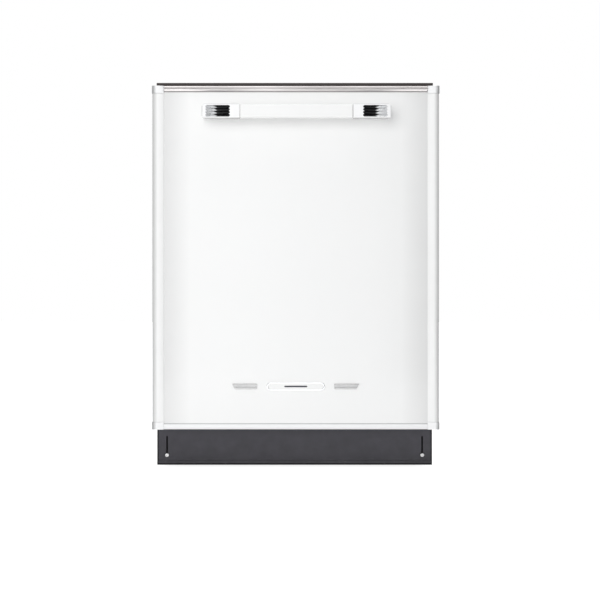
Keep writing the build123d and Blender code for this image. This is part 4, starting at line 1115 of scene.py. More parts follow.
# screws that hold the sheets: down the back edge, along the sides and into the base
sheet_screw = cross_screw(3.6, 1.8).bare()
SCREW_STEP = 132.0
rows = [(x, BACK.y1, BACK.z0 + 14 + k * SCREW_STEP) for k in range(6) for x in (BACK.x0 + 8, BACK.x1 - 8)]
rows += [(x, BACK.y1, BACK.z0 + 8) for x in (-180.0, -60.0, 60.0, 180.0)]
rear_screws = facing(sheet_screw, (0, 1, 0), *rows)
flank = [(SIDE.x1, y, z) for y in (SIDE.y0 + 16, SIDE.y1 - 14) for z in (170.0, 330.0, 490.0, 650.0, 810.0)]
flank += [(SIDE.x1, y, 34.0) for y in (-190.0, -20.0, 150.0, 316.0)]
right_screws = facing(sheet_screw, (1, 0, 0), *flank)
left_screws = facing(sheet_screw, (-1, 0, 0), *[(-x, y, z) for x, y, z in flank])
piece("sheet_screws", "cabinet", "zinc_steel", joined(rear_screws, right_screws, left_screws))

# ---------------------------------------------------------------- racks of bent wire
RACK_COLUMNS, RACK_ROWS, WALL_ROWS = 13, 12, 4
FRAME, WIRE = 2.3, 1.65


def hoop(x, y0, y1, z):
    """Corners of a level ring, as wide to both sides."""
    return [(-x, y0, z), (x, y0, z), (x, y1, z), (-x, y1, z)]


def rack(half, front, back, floor, top):
    """Round wires bent up at both ends, in two layers, tied by rings round the walls."""
    thin, thick = Form(), Form()
    wall = WIRE + 0.2
    x_out, y_front, y_back = half - wall, front + wall, back - wall
    z_low, z_next = floor + WIRE, floor + 3 * WIRE
    for x in spread(-half + 2, half - 2, RACK_COLUMNS)[1:-1]:
        thin.line([(x, y_front, top - 2), (x, y_front, z_low), (x, y_back, z_low), (x, y_back, top - 2)])
    for y in spread(front + 2, back - 2, RACK_ROWS)[1:-1]:
        thin.line([(-x_out, y, top - 2), (-x_out, y, z_next), (x_out, y, z_next), (x_out, y, top - 2)])
    x_ring, ring_front, ring_back = x_out - 2 * WIRE, y_front + 2 * WIRE, y_back - 2 * WIRE
    for z in spread(floor + 6, top - 2, WALL_ROWS)[1:-1]:
        thin.line(hoop(x_ring, ring_front, ring_back, z), True)
    thick.line(hoop(half - FRAME, front + FRAME, back - FRAME, top - FRAME), True)
    thick.line(hoop(x_ring, ring_front, ring_back, floor + 5), True)
    return [wires(thin, WIRE, 16.0, "coated_wire", 8), wires(thick, FRAME, 26.0, "coated_wire", 10)]


def tine_tips(places, radius):
    dome = [(x * radius, z * radius) for x, z in ((0, 1), (0.5, 0.87), (0.87, 0.5), (1, 0), (0, 0))]
    return moved(Form().lathe(dome, "Z", (0, 0, 0), 8), *places)


LOWER = Span("lower_rack_basket")
TINE = Span("lower_rack_tines")
LOWER_FLOOR, LOWER_HALF = TINE.z0 - 4.0, 250.0
WHEELS = {node: Span(node) for node in ("lower_front_wheels", "lower_rear_wheels")}
WHEEL = WHEELS["lower_front_wheels"]
WHEEL_IN = WHEEL.x1 - 10.0

carriers = Form()
for y in [box.y for box in WHEELS.values()]:
    outline = round_rect(y - 13, y + 13, WHEEL.z - 8, LOWER_FLOOR + 26, 8, 6)
    carriers.take(stand(plate([outline, circle(y, LOWER_FLOOR + 8, 4.5)], 2.4, 0.5), "YZ", LOWER_HALF + 1.2))
    axle = [(0, 0), (8.5, 0), (7, 1.0), (3, 1.0), (3, 11.6), (5, 11.6), (5, 13.2), (4.2, 13.8), (0, 13.8)]
    carriers.lathe(axle, "X", (LOWER_HALF + 2.2, y, WHEEL.z), 24)
    for z in (LOWER_FLOOR + 1.5, LOWER_FLOOR + 21):
        carriers.box((LOWER_HALF - 5.5, y - 9, z - 2.5), (LOWER_HALF + 1.5, y + 9, z + 2.5), 1.2, 2)
carriers.flip_x()
lower = joined(*rack(LOWER_HALF, LOWER.y0, LOWER.y1, LOWER_FLOOR, LOWER.z1), carriers)
dress("lower_rack_basket", "lower_rack_wires", lower, angle=50)

tines = Form()
comb_ys = spread(TINE.y0 + 2, TINE.y1 - 2, 9)
comb_xs = spread(TINE.x0 + 2, TINE.x1 - 2, 8)
for y in comb_ys:
    tines.line([(TINE.x0 - 8, y, TINE.z0 + WIRE), (TINE.x1 + 8, y, TINE.z0 + WIRE)])
tops = [(x, y, TINE.z1 - WIRE) for y in comb_ys for x in comb_xs]
for x, y, z in tops:
    tines.line([(x, y, TINE.z0 + WIRE), (x, y, z)])
tips = tine_tips(tops, WIRE)
dress("lower_rack_tines", "plate_tines", joined(wires(tines, WIRE, 0.0, "coated_wire", 8), tips), angle=50)


def wheel(y, side):
    """A moulded wheel with a rounded tread, a thin web, a hub and five ribs."""
    form = Form()
    profile = [(3.2, 0), (6.5, 0), (6.5, 3.2), (12.4, 3.2), (12.4, 0.8), (13.6, 0), (14.8, 0.3), (15.7, 1.3), (16, 2.6)]
    profile += [
        (16, 7.4), (15.7, 8.7), (14.8, 9.7), (13.6, 10), (12.4, 9.2), (12.4, 6.8), (6.5, 6.8), (6.5, 10), (3.2, 10),
    ]
    start = WHEEL_IN if side > 0 else -WHEEL.x1
    form.lathe(profile, "X", (start, y, WHEEL.z), 48)
    rib = Form().box((start + 0.8, y - 0.8, WHEEL.z + 5.5), (start + 9.2, y + 0.8, WHEEL.z + 13.0), 0.3, 1)
    return joined(form, spun(rib, "grey_plastic", 5, (0, y, WHEEL.z), (1, 0, 0)))


for name, box in WHEELS.items():
    dress(name, f"{name}_moulded", joined(wheel(box.y, 1), wheel(box.y, -1)))

UPPER = Span("upper_rack_basket")
UPPER_HALF, POST_HEIGHT = 240.0, 78
upper_rows = spread(UPPER.y0 + 32, UPPER.y1 - 32, 10)
dividers, posts = Form(), []
for x in (-110.0, 0.0, 110.0):
    z, post_z = UPPER.z0 + 4 + WIRE, UPPER.z0 + POST_HEIGHT - WIRE
    dividers.line([(x, upper_rows[0] - 8, z), (x, upper_rows[-1] + 8, z)])
    for y in upper_rows:
        dividers.line([(x, y, z), (x, y, post_z)])
        posts.append((x, y, post_z))
shoes = Form()
GUIDE = Span("rail_guides")
for y in (UPPER.y0 + 70, UPPER.y1 - 70):
    shoes.box((UPPER_HALF - 6, y - 24, GUIDE.z - 6), (UPPER_HALF + 21, y + 24, GUIDE.z + 6), 2.0, 3)
    shoes.box((UPPER_HALF + 14, y - 30, GUIDE.z - 8), (UPPER.x1, y + 30, GUIDE.z + 8), 2.5, 4)
    for step in (-18, 18):
        shoes.lathe([(0, 0), (6.2, 0), (6.2, 1.2), (0, 1.2)], "X", (UPPER.x1 - 1.4, y + step, GUIDE.z), 24)
shoes.flip_x()
upper = joined(
    *rack(UPPER_HALF, UPPER.y0, UPPER.y1, UPPER.z0, UPPER.z1), wires(dividers, WIRE, 0.0, "coated_wire", 8),
    tine_tips(posts, WIRE), shoes,
)
dress("upper_rack_basket", "upper_rack_wires", upper, angle=50)

# ---------------------------------------------------------------- cutlery basket
CUT = Span("cutlery_basket")
CUT_WALL = 2.4


def lattice(x0, x1, z0, z1, columns, rows, bar=3.0, rail=5.0):
    """Slots of a moulded lattice, as the holes of a plate."""
    width, height = (x1 - x0 - rail * 2 + bar) / columns, (z1 - z0 - rail * 2 + rail * 0.8) / rows
    holes = []
    for i in range(columns):
        for j in range(rows):
            left, low = x0 + rail + i * width, z0 + rail + j * height
            holes.append(round_rect(left, left + width - bar, low, low + height - rail * 0.8, 1.2, 2))
    return holes


basket = Form()
walls = (
    ("XZ", CUT.x0, CUT.x1, CUT.y0, CUT.y1, 26),
    ("YZ", CUT.y0, CUT.y1, CUT.x0, CUT.x1, 7),
)
for plane, a0, a1, b0, b1, columns in walls:
    flat = round_rect(a0 + 8, a1 - 8, CUT.z0, CUT.z1, 0.5, 1)
    holes = lattice(a0 + 8, a1 - 8, CUT.z0 + 2, CUT.z1 - 2, columns, 5)
    for offset in (b0 + CUT_WALL / 2, b1 - CUT_WALL / 2):
        basket.take(stand(plate([flat, *holes], CUT_WALL, 0.4, 1), plane, offset))
well = (CUT.x1 - CUT.x0 - 2.5) / 4
flat = round_rect(CUT.y0 + 1, CUT.y1 - 1, CUT.z0 + 1, CUT.z1 - 6, 0.5, 1)
holes = lattice(CUT.y0 + 6, CUT.y1 - 6, CUT.z0 + 4, CUT.z1 - 20, 4, 3, 5.0, 8.0)
for k in (1, 2, 3):
    basket.take(stand(plate([flat, *holes], 2.2, 0.4, 1), "YZ", CUT.x0 + k * well + 1.25))
floor_holes = [
    circle(x, y, 2.6, 10) for x in spread(CUT.x0 + 12, CUT.x1 - 12, 26) for y in spread(CUT.y0 + 12, CUT.y1 - 12, 6)
]
bottom = round_rect(CUT.x0 + 0.5, CUT.x1 - 0.5, CUT.y0 + 0.5, CUT.y1 - 0.5, 7.5, 6)
basket.take(stand(plate([bottom, *floor_holes], 2.4, 0.3, 1), "XY", CUT.z0 + 1.2))
for x, starts in ((CUT.x0 + 8, (180, 90)), (CUT.x1 - 8, (270, 0))):
    for y, start in zip((CUT.y0 + 8, CUT.y1 - 8), starts):
        post = arc(x, y, 8.0, start, start + 90, 6) + arc(x, y, 8.0 - CUT_WALL, start + 90, start, 6)
        basket.prism(post, "Z", CUT.z0, CUT.z1)
rim_line = round_rect(CUT.x0 + 1.8, CUT.x1 - 1.8, CUT.y0 + 1.8, CUT.y1 - 1.8, 7, 6)
rim_wire = Form().line([(x, y, CUT.z1 - 1.8) for x, y in rim_line], True)
basket.take(wires(rim_wire, 1.8, 0.0, "grey_plastic", 8))
dress("cutlery_basket", "cutlery_lattice", basket, angle=40)

# ---------------------------------------------------------------- spray arms
AXIS_Y = Span("lower_spray_arm").y
ARM_WIDTH, ARM_THICK, ARM_TIP, HUB_HEIGHT = 42.0, 9.6, 21.0, 16


def blade(side, half, low):
    """One half of a spray arm: a hollow-looking blade with a flat belly and a crowned back, tapering to a round tip."""
    stations = [14.0] + spread(30.0, half - 20, 14) + [half - ARM_TIP * (1 - sine(a)) for a in range(10, 91, 10)]
    rings = []
    for x in stations:
        taper = 1 - 0.10 * max(0.0, (x - 40) / (half - 40))
        if x > half - ARM_TIP:
            taper *= math.sqrt(max(0.0004, 1 - ((x - half + ARM_TIP) / ARM_TIP) ** 2))
        w = ARM_WIDTH / 2 * taper
        t = ARM_THICK * (0.55 + 0.45 * min(1.0, taper * 1.05))
        section = []
        for a in range(0, 180, 12):
            section.append((w * cosine(a), 2.2 + (t - 2.2) * abs(sine(a)) ** 0.62))
        section += [(-w, 2.2), (-w * 0.97, 0.6), (-w * 0.93, 0.0), (w * 0.93, 0.0), (w * 0.97, 0.6)]
        rings.append([(side * x, AXIS_Y + y, low + z) for y, z in section])
    form = Form()
    loft(form, rings, True)
    return form


def nozzle():
    """A raised spout with a slot of its own."""
    spout = [(5.6, -3.5), (5.6, 0.2), (5.0, 0.9), (3.9, 1.2), (3.2, 0.9), (3.2, -0.6), (1.2, -0.6), (1.2, -3.5)]
    return Form().lathe(spout, "Z", (0, 0, 0), 20)


def spray_arm(half, low, bore, bore_top):
    form = Form()
    for side in (-1, 1):
        form.take(blade(side, half, low))
        for step, shift in ((0.28, -7), (0.45, 0), (0.7, 6), (0.9, -3)):
            form.take(moved(nozzle(), (side * half * step, AXIS_Y + shift, low + 9.4)))
        ridge = Form().box((half * 0.16, AXIS_Y - 1.1, low + 8.6), (half * 0.4, AXIS_Y + 1.1, low + 10.4), 0.5, 2)
        if side < 0:
            ridge.mesh.transform(MIRROR)
        form.take(ridge)
    crown = [(bore, 0), (24.6, 0), (26, 1.2), (26, 10.4), (24.6, 11.8), (19, 13.2), (16, 15.6), (14.6, HUB_HEIGHT)]
    crown += [(0, HUB_HEIGHT), (0, bore_top), (bore, bore_top)] if bore_top < HUB_HEIGHT else [(bore, HUB_HEIGHT)]
    form.lathe(crown, "Z", (0, AXIS_Y, low), 64)
    return form


for name, bore, bore_top in (("lower", 10.05, 13.0), ("upper", 8.05, HUB_HEIGHT)):
    arm = Span(f"{name}_spray_arm")
    dress(f"{name}_spray_arm", f"{name}_arm_moulded", spray_arm(arm.x1, arm.z0, bore, bore_top), angle=38)

# ---------------------------------------------------------------- filter
SIEVE = Span("filter_plate")
FILTER = Span("filter_cylinder")
disc_radius = SIEVE.x1
PERFORATION = 7.4
holes = []
for i in range(-15, 16):
    for j in range(-17, 18):
        x, y = (i + 0.5 * (j % 2)) * PERFORATION, AXIS_Y + j * PERFORATION * 0.866
        if 22 < math.hypot(x, y - AXIS_Y) < disc_radius - 9 and math.hypot(x, y - FILTER.y) > 41:
            holes.append(circle(x, y, 1.7, 8))
openings = [circle(0, FILTER.y, 31.3, 48), circle(0, AXIS_Y, 14.3, 32), *holes]
sieve = plate([circle(0, AXIS_Y, disc_radius, 96), *openings], SIEVE.z1 - SIEVE.z0, 0.2, 1)
dress("filter_plate", "filter_sieve", stand(sieve, "XY", SIEVE.z))

cup = Form()
seat_z = FILTER.z1 - 15.0
wall = [(28, 3)], [(28, 2.2), (29, 3), (34.6, 3), (36, 2), (36, 0.3), (31, 0)], [(31, 1.5), (29.5, 0), (0, 0), (0, 3)]
bases = (FILTER.z0, seat_z, FILTER.z0)
cup.lathe([(r, base + z) for part, base in zip(wall, bases) for r, z in part], "Z", (0, FILTER.y, 0), 64)
lug = Form().box((-2.2, FILTER.y + 29.5, seat_z + 2.2), (2.2, FILTER.y + 34.5, seat_z + 4.6), 0.7, 2)
cup.take(spun(lug, slots["filter_cylinder"], 8, (0, FILTER.y, 0), (0, 0, 1)))
grip_profile = [(-28.5, seat_z - 8), (28.5, seat_z - 8), (28.5, seat_z + 4)]
grip_profile += [
    (30.0 * cosine(a) * 0.9, seat_z + 4 + 11.0 * sine(a) ** 0.8) for a in range(10, 180, 10)
] + [(-28.5, seat_z + 4)]
cup.soften(cup.prism(grip_profile, "Y", FILTER.y - 3, FILTER.y + 3), 1.2, 2, 50)
dress("filter_cylinder", "filter_cup", cup, angle=40)

mesh_bars = Form()
for z in spread(FILTER.z0 + 6, seat_z - 6, 9):
    mesh_bars.line([(x, y, z) for x, y in circle(0, FILTER.y, 31.4, 48)], True)
piece(
    "filter_rings", "filter_cylinder", slots["filter_cylinder"],
    wires(mesh_bars, 0.7, 0.0, slots["filter_cylinder"], 6),
)

# ---------------------------------------------------------------- inner side of the door
LINER = Span("door_inner_liner")
LINER_HALF, LINER_FACE, LINER_BACK = 282.0, LINER.y1, LINER.y1 - 16.0
HOUSE = Span("dispenser_housing")
HOOK = Span("latch_hook")
WELL = (HOUSE.x0 + 7.0, HOUSE.x1 - 7.0, HOUSE.z0 + 7.0, HOUSE.z1 - 7.0)


def door_liner():
    """A steel pan: side walls, a rounded shoulder, a raised rim and a sunken field with its opening for the dispenser.
    """
    def ring(inset, y, corner):
        flat = round_rect(-LINER_HALF + inset, LINER_HALF - inset, LINER.z0 + inset, LINER.z1 - inset, corner, 8)
        return [(x, y, z) for x, z in flat]

    outer = [ring(0, LINER_BACK, 14), ring(0, LINER_FACE - 5, 14)]
    outer += [ring(5 - 5 * cosine(a), LINER_FACE - 5 + 5 * sine(a), 14) for a in (20, 40, 60, 75, 90)]
    outer += [ring(20, LINER_FACE, 12)]
    outer += [ring(20 + 6 * t / 6, LINER_FACE - 2.4 * (t / 6) ** 2 * (3 - 2 * t / 6), 14) for t in range(1, 7)]
    inner = [[(x, y - 1.2, z) for x, y, z in loop] for loop in outer[6:]]
    inner = inner[::-1] + [ring(1.2, LINER_FACE - 5, 13), ring(1.2, LINER_BACK, 13)]
    form = Form()
    stack = loft(form, outer + inner)
    skin(form, stack[0], stack[-1])
    field_low, field_high = LINER.z0 + 25.9, LINER.z1 - 25.9
    flat = round_rect(-LINER_HALF + 25.9, LINER_HALF - 25.9, field_low, field_high, 8, 8)
    form.take(stand(plate([flat, round_rect(*WELL, 2.0, 3)], 1.2, 0.0), "XZ", LINER_FACE - 3.0))
    for side in (-1, 1):
        x0, x1 = sorted((side * (LINER_HALF - 1.2), side * LINER.x1))
        form.box((x0, LINER_BACK - 1.2, 138.0), (x1, LINER_BACK, LINER.z1 - 0.2), 0.3, 2)
    return form


# a dark mouth for the latch in the liner's raised rim
slot_form = Form().box((-8.5, LINER_FACE - 1.4, HOOK.z0 - 5.5), (8.5, LINER_FACE + 0.25, HOOK.z1 + 1.5), 0.2, 1)
piece("latch_slot_frame", "door", "black_plastic", slot_form)
dress("door_inner_liner", "liner_pan", door_liner(), angle=35)

# ---------------------------------------------------------------- dispenser
LID = Span("dispenser_lid")
CAP = Span("rinse_aid_cap")
cap_radius = (CAP.x1 - CAP.x0) / 2
CUP = (LID.x - 30.0, LID.x + 30.0, HOUSE.z - 32.0, HOUSE.z + 32.0)
lip_plate = plate(
    [
        round_rect(HOUSE.x0, HOUSE.x1, HOUSE.z0, HOUSE.z1, 9, 8),
        round_rect(*CUP, 4, 5),
        circle(CAP.x, HOUSE.z, 8.1, 32),
    ], HOUSE.y1 - LINER_FACE + 1.0, 0.9, 3,
)
house = Form().take(stand(lip_plate, "XZ", (HOUSE.y1 + LINER_FACE - 1.0) / 2))
left, right, low, high = CUP[0] - 2, CUP[1] + 2, CUP[2] - 2, CUP[3] + 2
walls = ((left, CUP[0], low, high), (CUP[1], right, low, high), (left, right, low, CUP[2]), (left, right, CUP[3], high))
for x0, x1, z0, z1 in walls:
    house.box((x0, HOUSE.y1 - 23.0, z0), (x1, HOUSE.y1 - 1.0, z1))
house.box((CUP[0] - 2, HOUSE.y1 - 25.0, CUP[2] - 2), (CUP[1] + 2, HOUSE.y1 - 22.0, CUP[3] + 2), 0.8, 2)
house.box((WELL[0] + 0.6, HOUSE.y0, WELL[2] + 0.6), (WELL[1] - 0.6, HOUSE.y1 - 25.0, WELL[3] - 0.6), 2.0, 3)
house.box((CUP[1] + 4, HOUSE.y1 - 26.0, WELL[2] + 4), (WELL[1] - 1.5, HOUSE.y1 - 12.0, WELL[3] - 4), 2.0, 3)
for z in spread(CUP[2] + 12, CUP[3] - 12, 3):
    house.box((CUP[0] + 4, HOUSE.y1 - 22.4, z - 0.8), (CUP[1] - 4, HOUSE.y1 - 21.2, z + 0.8), 0.4, 1)
for z in (HOUSE.z - 38.5, HOUSE.z + 38.5):
    house.box((LID.x - 42, LINER_FACE + 0.6, z - 1.2), (HOUSE.x1 - 12, HOUSE.y1 + 0.2, z + 1.2), 0.5, 2)
collar = [(cap_radius + r, y) for r, y in ((1.0, -1.6), (3.0, -1.2), (3.4, -0.2), (1.2, 0.1))]
house.lathe(collar, "Y", (CAP.x, HOUSE.y1, HOUSE.z), 48)
dress("dispenser_housing", "dispenser_body", house, angle=38)

lid = Form().take(stand(plate([round_rect(LID.x0, LID.x1, LID.z0, LID.z1, 7, 8)], 3.0, 1.0, 3), "XZ", LID.y0 + 1.5))
lid.box((LID.x - 4, LID.y0 + 2.2, HOUSE.z - 18), (LID.x + 4, LID.y1, HOUSE.z + 18), 1.3, 3)
for step in (-27, -22, 22, 27):
    lid.box((LID.x + step - 0.9, LID.y0 + 2.6, HOUSE.z - 28), (LID.x + step + 0.9, LID.y0 + 3.7, HOUSE.z + 28), 0.5, 2)
dress("dispenser_lid", "dispenser_shutter", lid, angle=38)

cap = Form()
knurled = [(cap_radius - r, y) for r, y in ((1.6, 0.0), (0.6, 0.6), (0.6, 3.4), (1.8, 4.4), (5, 4.6))]
cap.lathe([(0, 0.0), *knurled, (0, 4.2)], "Y", (CAP.x, CAP.y1 - 9.0, HOUSE.z), 60)
tooth = Form().box(
    (CAP.x - 0.7, CAP.y1 - 8.4, HOUSE.z + cap_radius - 1.4), (CAP.x + 0.7, CAP.y1 - 5.8, HOUSE.z + cap_radius - 0.1),
    0.3, 1,
)
cap.take(spun(tooth, slots["rinse_aid_cap"], 30, (CAP.x, 0, HOUSE.z), (0, 1, 0)))
cap.box(
    (CAP.x - cap_radius + 2.4, CAP.y1 - 6.0, HOUSE.z - 2.8), (CAP.x + cap_radius - 2.4, CAP.y1, HOUSE.z + 2.8), 1.3, 3,
)
cap.lathe(thread(8.0, 0.5, 2.2, CAP.y0, CAP.y1 - 8.6), "Y", (CAP.x, 0, HOUSE.z), 32)
dress("rinse_aid_cap", "rinse_cap_moulded", cap, angle=38)

# ---------------------------------------------------------------- controls on the door's top edge
for node in ("power_button", "program_button", "start_button"):
    box = Span(node)
    button = Form()
    button.box((box.x - 12, box.y - 6, box.z0 + 1.0), (box.x + 12, box.y + 6, box.z1), 1.1, 4)
    button.box((box.x0, box.y0, box.z0), (box.x1, box.y1, box.z0 + 2.0), 0.4, 2)
    for step in (-3.2, 0.0, 3.2):
        button.box(
            (box.x - 6.5, box.y + step - 0.5, box.z1 - 0.3), (box.x + 6.5, box.y + step + 0.5, box.z1 + 0.28), 0.2, 2,
        )
    dress(node, f"{node}_crown", button, angle=38)

FASCIA = Span("control_fascia")
LENS = Span("display_lens")
frames = [
    round_rect(LENS.x0 - grow, LENS.x1 + grow, LENS.y0 - grow, LENS.y1 + grow, corner, 4)
    for grow, corner in ((2.2, 2.4), (-0.6, 1.4))
]
bezel = plate(frames, 0.6, 0.2)
piece("lens_bezel", "door", "grey_plastic", stand(bezel, "XY", FASCIA.z1 + 0.12))
lens = Form().box((LENS.x0 + 0.1, LENS.y0 + 0.1, LENS.z0), (LENS.x1 - 0.1, LENS.y1 - 0.1, LENS.z1 + 0.1), 0.35, 3)
dress("display_lens", "lens_glass", lens, angle=40)
fascia_screws = facing(
    cross_screw(3.0, 1.0), (0, 0, 1), *[(x, FASCIA.y + 16, FASCIA.z1 - 0.1) for x in (-280, -140, 140, 280)],
)
piece("fascia_screws", "door", "zinc_steel", fascia_screws)

# ---------------------------------------------------------------- latch
hook = Form()
hook_middle = HOOK.z0 + 5.5
nose = ((1.4, -2.0), (0, -0.8), (0, 3.4), (0.8, 4.5), (2.6, 4.6), (4.2, 2.2))
lever = [(HOOK.y0 + 5.0, hook_middle - 2.0), *[(HOOK.y1 - y, hook_middle + z) for y, z in nose]]
lever += [(HOOK.y0 + 5.0, hook_middle + 2.0)]
hook.soften(hook.prism(lever, "X", HOOK.x0, HOOK.x1), 0.45, 2)
hook.lathe(
    [(3.1, -6), (5.1, -6), (5.5, -5.6), (5.5, 5.6), (5.1, 6), (3.1, 6)], "X", (0, HOOK.y0 + 5.5, hook_middle), 36,
)
dress("latch_hook", "latch_hook_forged", hook, angle=38)

# ---------------------------------------------------------------- levelling feet
def foot(x, y):
    form = Form()
    pad = [
        (0, 0.4), (19.5, 0), (21.2, 0.5), (22, 1.6), (22, 4.4), (21.2, 5.6), (18.5, 6.6), (14.5, 7.4), (13.2, 8.2),
        (0, 8.2),
    ]
    form.lathe(pad, "Z", (x, y, 0), 56)
    rib = Form().box((x - 0.9, y + 12.0, 3.0), (x + 0.9, y + 20.6, 7.0), 0.5, 2)
    form.take(spun(rib, "black_plastic", 12, (x, y, 0), (0, 0, 1)))
    nut = form.prism([(x + px, y + py) for px, py in arc(0, 0, 12.0, 0, 300, 5)], "Z", 8.0, 19.6)
    form.soften(nut, 0.7, 2)
    form.lathe([(0, 19.0), (9.6, 19.0), (9.6, 19.7), (0, 19.7)], "Z", (x, y, 0), 32)
    form.lathe(thread(5.0, 0.55, 1.75, 19.2, 71.0), "Z", (x, y, 0), 24)
    return form


for node in [n for n in frame["nodes"] if n.startswith("levelling_foot")]:
    box = Span(node)
    dress(node, f"{node}_threaded", foot(box.x, box.y), angle=40)

# ---------------------------------------------------------------- water fittings and pumps
VALVE = Span("water_inlet_valve")
INLET_Z = 62.0
valve = Form()
valve.box((VALVE.x0, VALVE.y0, VALVE.z0), (VALVE.x1, TRAY.y1 - 3.0, 86.0), 4.0, 4)
for x in (VALVE.x0 + 7, VALVE.x1 - 7):
    valve.take(facing(cross_screw(3.2, 1.4), (0, -1, 0), (x, VALVE.y0, 32.0), (x, VALVE.y0, 78.0)))
middle_y = VALVE.y0 + 23.0
valve.lathe(
    [(0, 84.5), (15, 84.5), (17, 86.5), (17, 104), (16.2, 106), (10, 106.5), (9, 109.5), (0, 110.0)], "Z",
    (VALVE.x, middle_y, 0), 48,
)
for z in (89.0, 93.0, 97.0, 101.0):
    valve.lathe([(16.6, z - 0.7), (17.0, z - 0.5), (17.0, z + 0.5), (16.6, z + 0.7)], "Z", (VALVE.x, middle_y, 0), 48)
for step in (-5, 5):
    valve.box((VALVE.x + step - 3.2, middle_y - 0.4, 104.0), (VALVE.x + step + 3.2, middle_y + 0.4, VALVE.z1), 0.2, 1)
valve.lathe(
    [(0, -3.5), (16.6, -3.5), (17.2, -3.0), (17.2, 1.4), (16.6, 2.0), (13.4, 2.0), (0, 2.0)], "Y",
    (VALVE.x, TRAY.y1, INLET_Z), 48,
)
valve.prism([(VALVE.x + px, INLET_Z + pz) for px, pz in arc(0, 0, 15.6, 0, 300, 5)], "Y", TRAY.y1 + 1.6, TRAY.y1 + 7.0)
start, stop = TRAY.y1 + 6.0, VALVE.y1
ridges = [(9.2, start), (12.2, start)]
along = start + 0.9
while along + 0.9 < stop - 1.4:
    ridges += [(12.1, along - 0.6), (13.2, along), (12.1, along + 0.6)]
    along += 1.8
ridges += [(12.0, stop - 1.2), (11.0, stop), (9.2, stop), (9.2, start + 6)]
valve.lathe([(0, start + 6), (0, start)] + ridges + [(0, start + 6)], "Y", (VALVE.x, 0, INLET_Z), 48)
valve.lathe(
    [(3.2, start + 5.8), (9.3, start + 5.8), (9.3, start + 7.2), (3.2, start + 7.2)], "Y", (VALVE.x, 0, INLET_Z), 32,
)
dress("water_inlet_valve", "inlet_valve_body", valve, angle=38)

DRAIN = Span("drain_pump")
DRAIN_Z = 85.0
drain = Form()
motor = [
    (0, 0), (26, 0), (29, 2), (30, 4), (30, 20), (28.8, 21), (28.8, 24), (30, 25), (30, 52), (27, 57), (22, 60),
    (0, 60),
]
drain.lathe(motor, "Y", (0, DRAIN.y0, DRAIN_Z), 64)
fin = Form().box((-0.9, DRAIN.y0 + 27, DRAIN_Z + 27.5), (0.9, DRAIN.y0 + 50, DRAIN_Z + 30.0 - 0.05), 0.3, 1)
drain.take(spun(fin, "pump_plastic", 24, (0, 0, DRAIN_Z), (0, 1, 0)))
drain.box((-18, DRAIN.y0 + 8, DRAIN.z0), (18, DRAIN.y0 + 52, 60.0), 2.5, 3)
reach, neck = DRAIN.y1 - DRAIN.y0, TRAY.y1 - DRAIN.y0
spigot = [(0, 59), (12.4, 59), (12.4, 62), (10.0, 64)]
spigot += [(r, neck + y) for r, y in ((10.0, -4), (14.0, -3.4), (14.5, -2.5), (14.5, 1.4), (14.0, 2), (10.0, 2.4))]
for k in range(4):
    spigot += [(r, neck + 8 + k * 5.6 + y) for r, y in ((9.6, 0), (10.5, 0.6), (9.6, 4.6))]
spigot += [(r, reach - y) for r, y in ((9.6, 1.0), (8.8, 0), (7.6, 0), (7.6, 20), (0, 20))]
drain.lathe(spigot, "Y", (0, DRAIN.y0, DRAIN_Z), 48)
dress("drain_pump", "drain_pump_body", drain, angle=38)

PUMP = Span("circulation_pump")
PUMP_Z = 82.0
pump = Form()
volute_end = PUMP.x0 + 42.0
volute = [(0, 0), (17, 0), (18, 1), (18, 8.5), (40, 8.5), (45, 11), (46, 15), (46, 36)]
volute += [(44, 40), (42, 42), (42, 43), (44.5, 44), (44.5, 48), (42, 49), (0, 49)]
pump.lathe(volute, "X", (PUMP.x0, AXIS_Y, PUMP_Z), 72)
clip = Form().box(
    (volute_end - 4, AXIS_Y - 4, PUMP_Z + 42.5), (volute_end + 8, AXIS_Y + 4, PUMP_Z + 46.0 - 0.05), 1.0, 2,
)
pump.take(spun(clip, "pump_plastic", 6, (0, AXIS_Y, PUMP_Z), (1, 0, 0)))
motor_end = PUMP.x1
can = [(r, motor_end - x) for r, x in ((38.5, 6), (36, 2), (30, 0), (12, 0), (11, 2.5), (0, 2.5))]
pump.lathe([(0, volute_end + 6), (38.5, volute_end + 6), *can], "X", (0, AXIS_Y, PUMP_Z), 64)
fin = Form().box((volute_end + 10, AXIS_Y - 1.0, PUMP_Z + 37.5), (motor_end - 10, AXIS_Y + 1.0, PUMP_Z + 41.8), 0.5, 1)
pump.take(spun(fin, "pump_plastic", 28, (0, AXIS_Y, PUMP_Z), (1, 0, 0)))
pump.box((volute_end - 20, AXIS_Y - 25, PUMP.z0), (volute_end + 47, AXIS_Y + 25, PUMP_Z - 20), 4.0, 3)
pump.box((motor_end - 44, AXIS_Y - 14, PUMP_Z + 36), (motor_end - 14, AXIS_Y + 14, PUMP.z1 - 0.2), 2.0, 3)
dress("circulation_pump", "circulation_pump_body", pump, angle=38)

# ---------------------------------------------------------------- felt over the tub
FELT = Span("insulation_blanket")
FELT_HALF, FELT_TOP, FELT_ROUND, FELT_THICK = FELT.x1 - 3.9, FELT.z1 - 1.0, 14.0, 15.0
FELT_FRONT, FELT_BACK = FELT.y0 + 1.0, FELT.y1 - 3.2


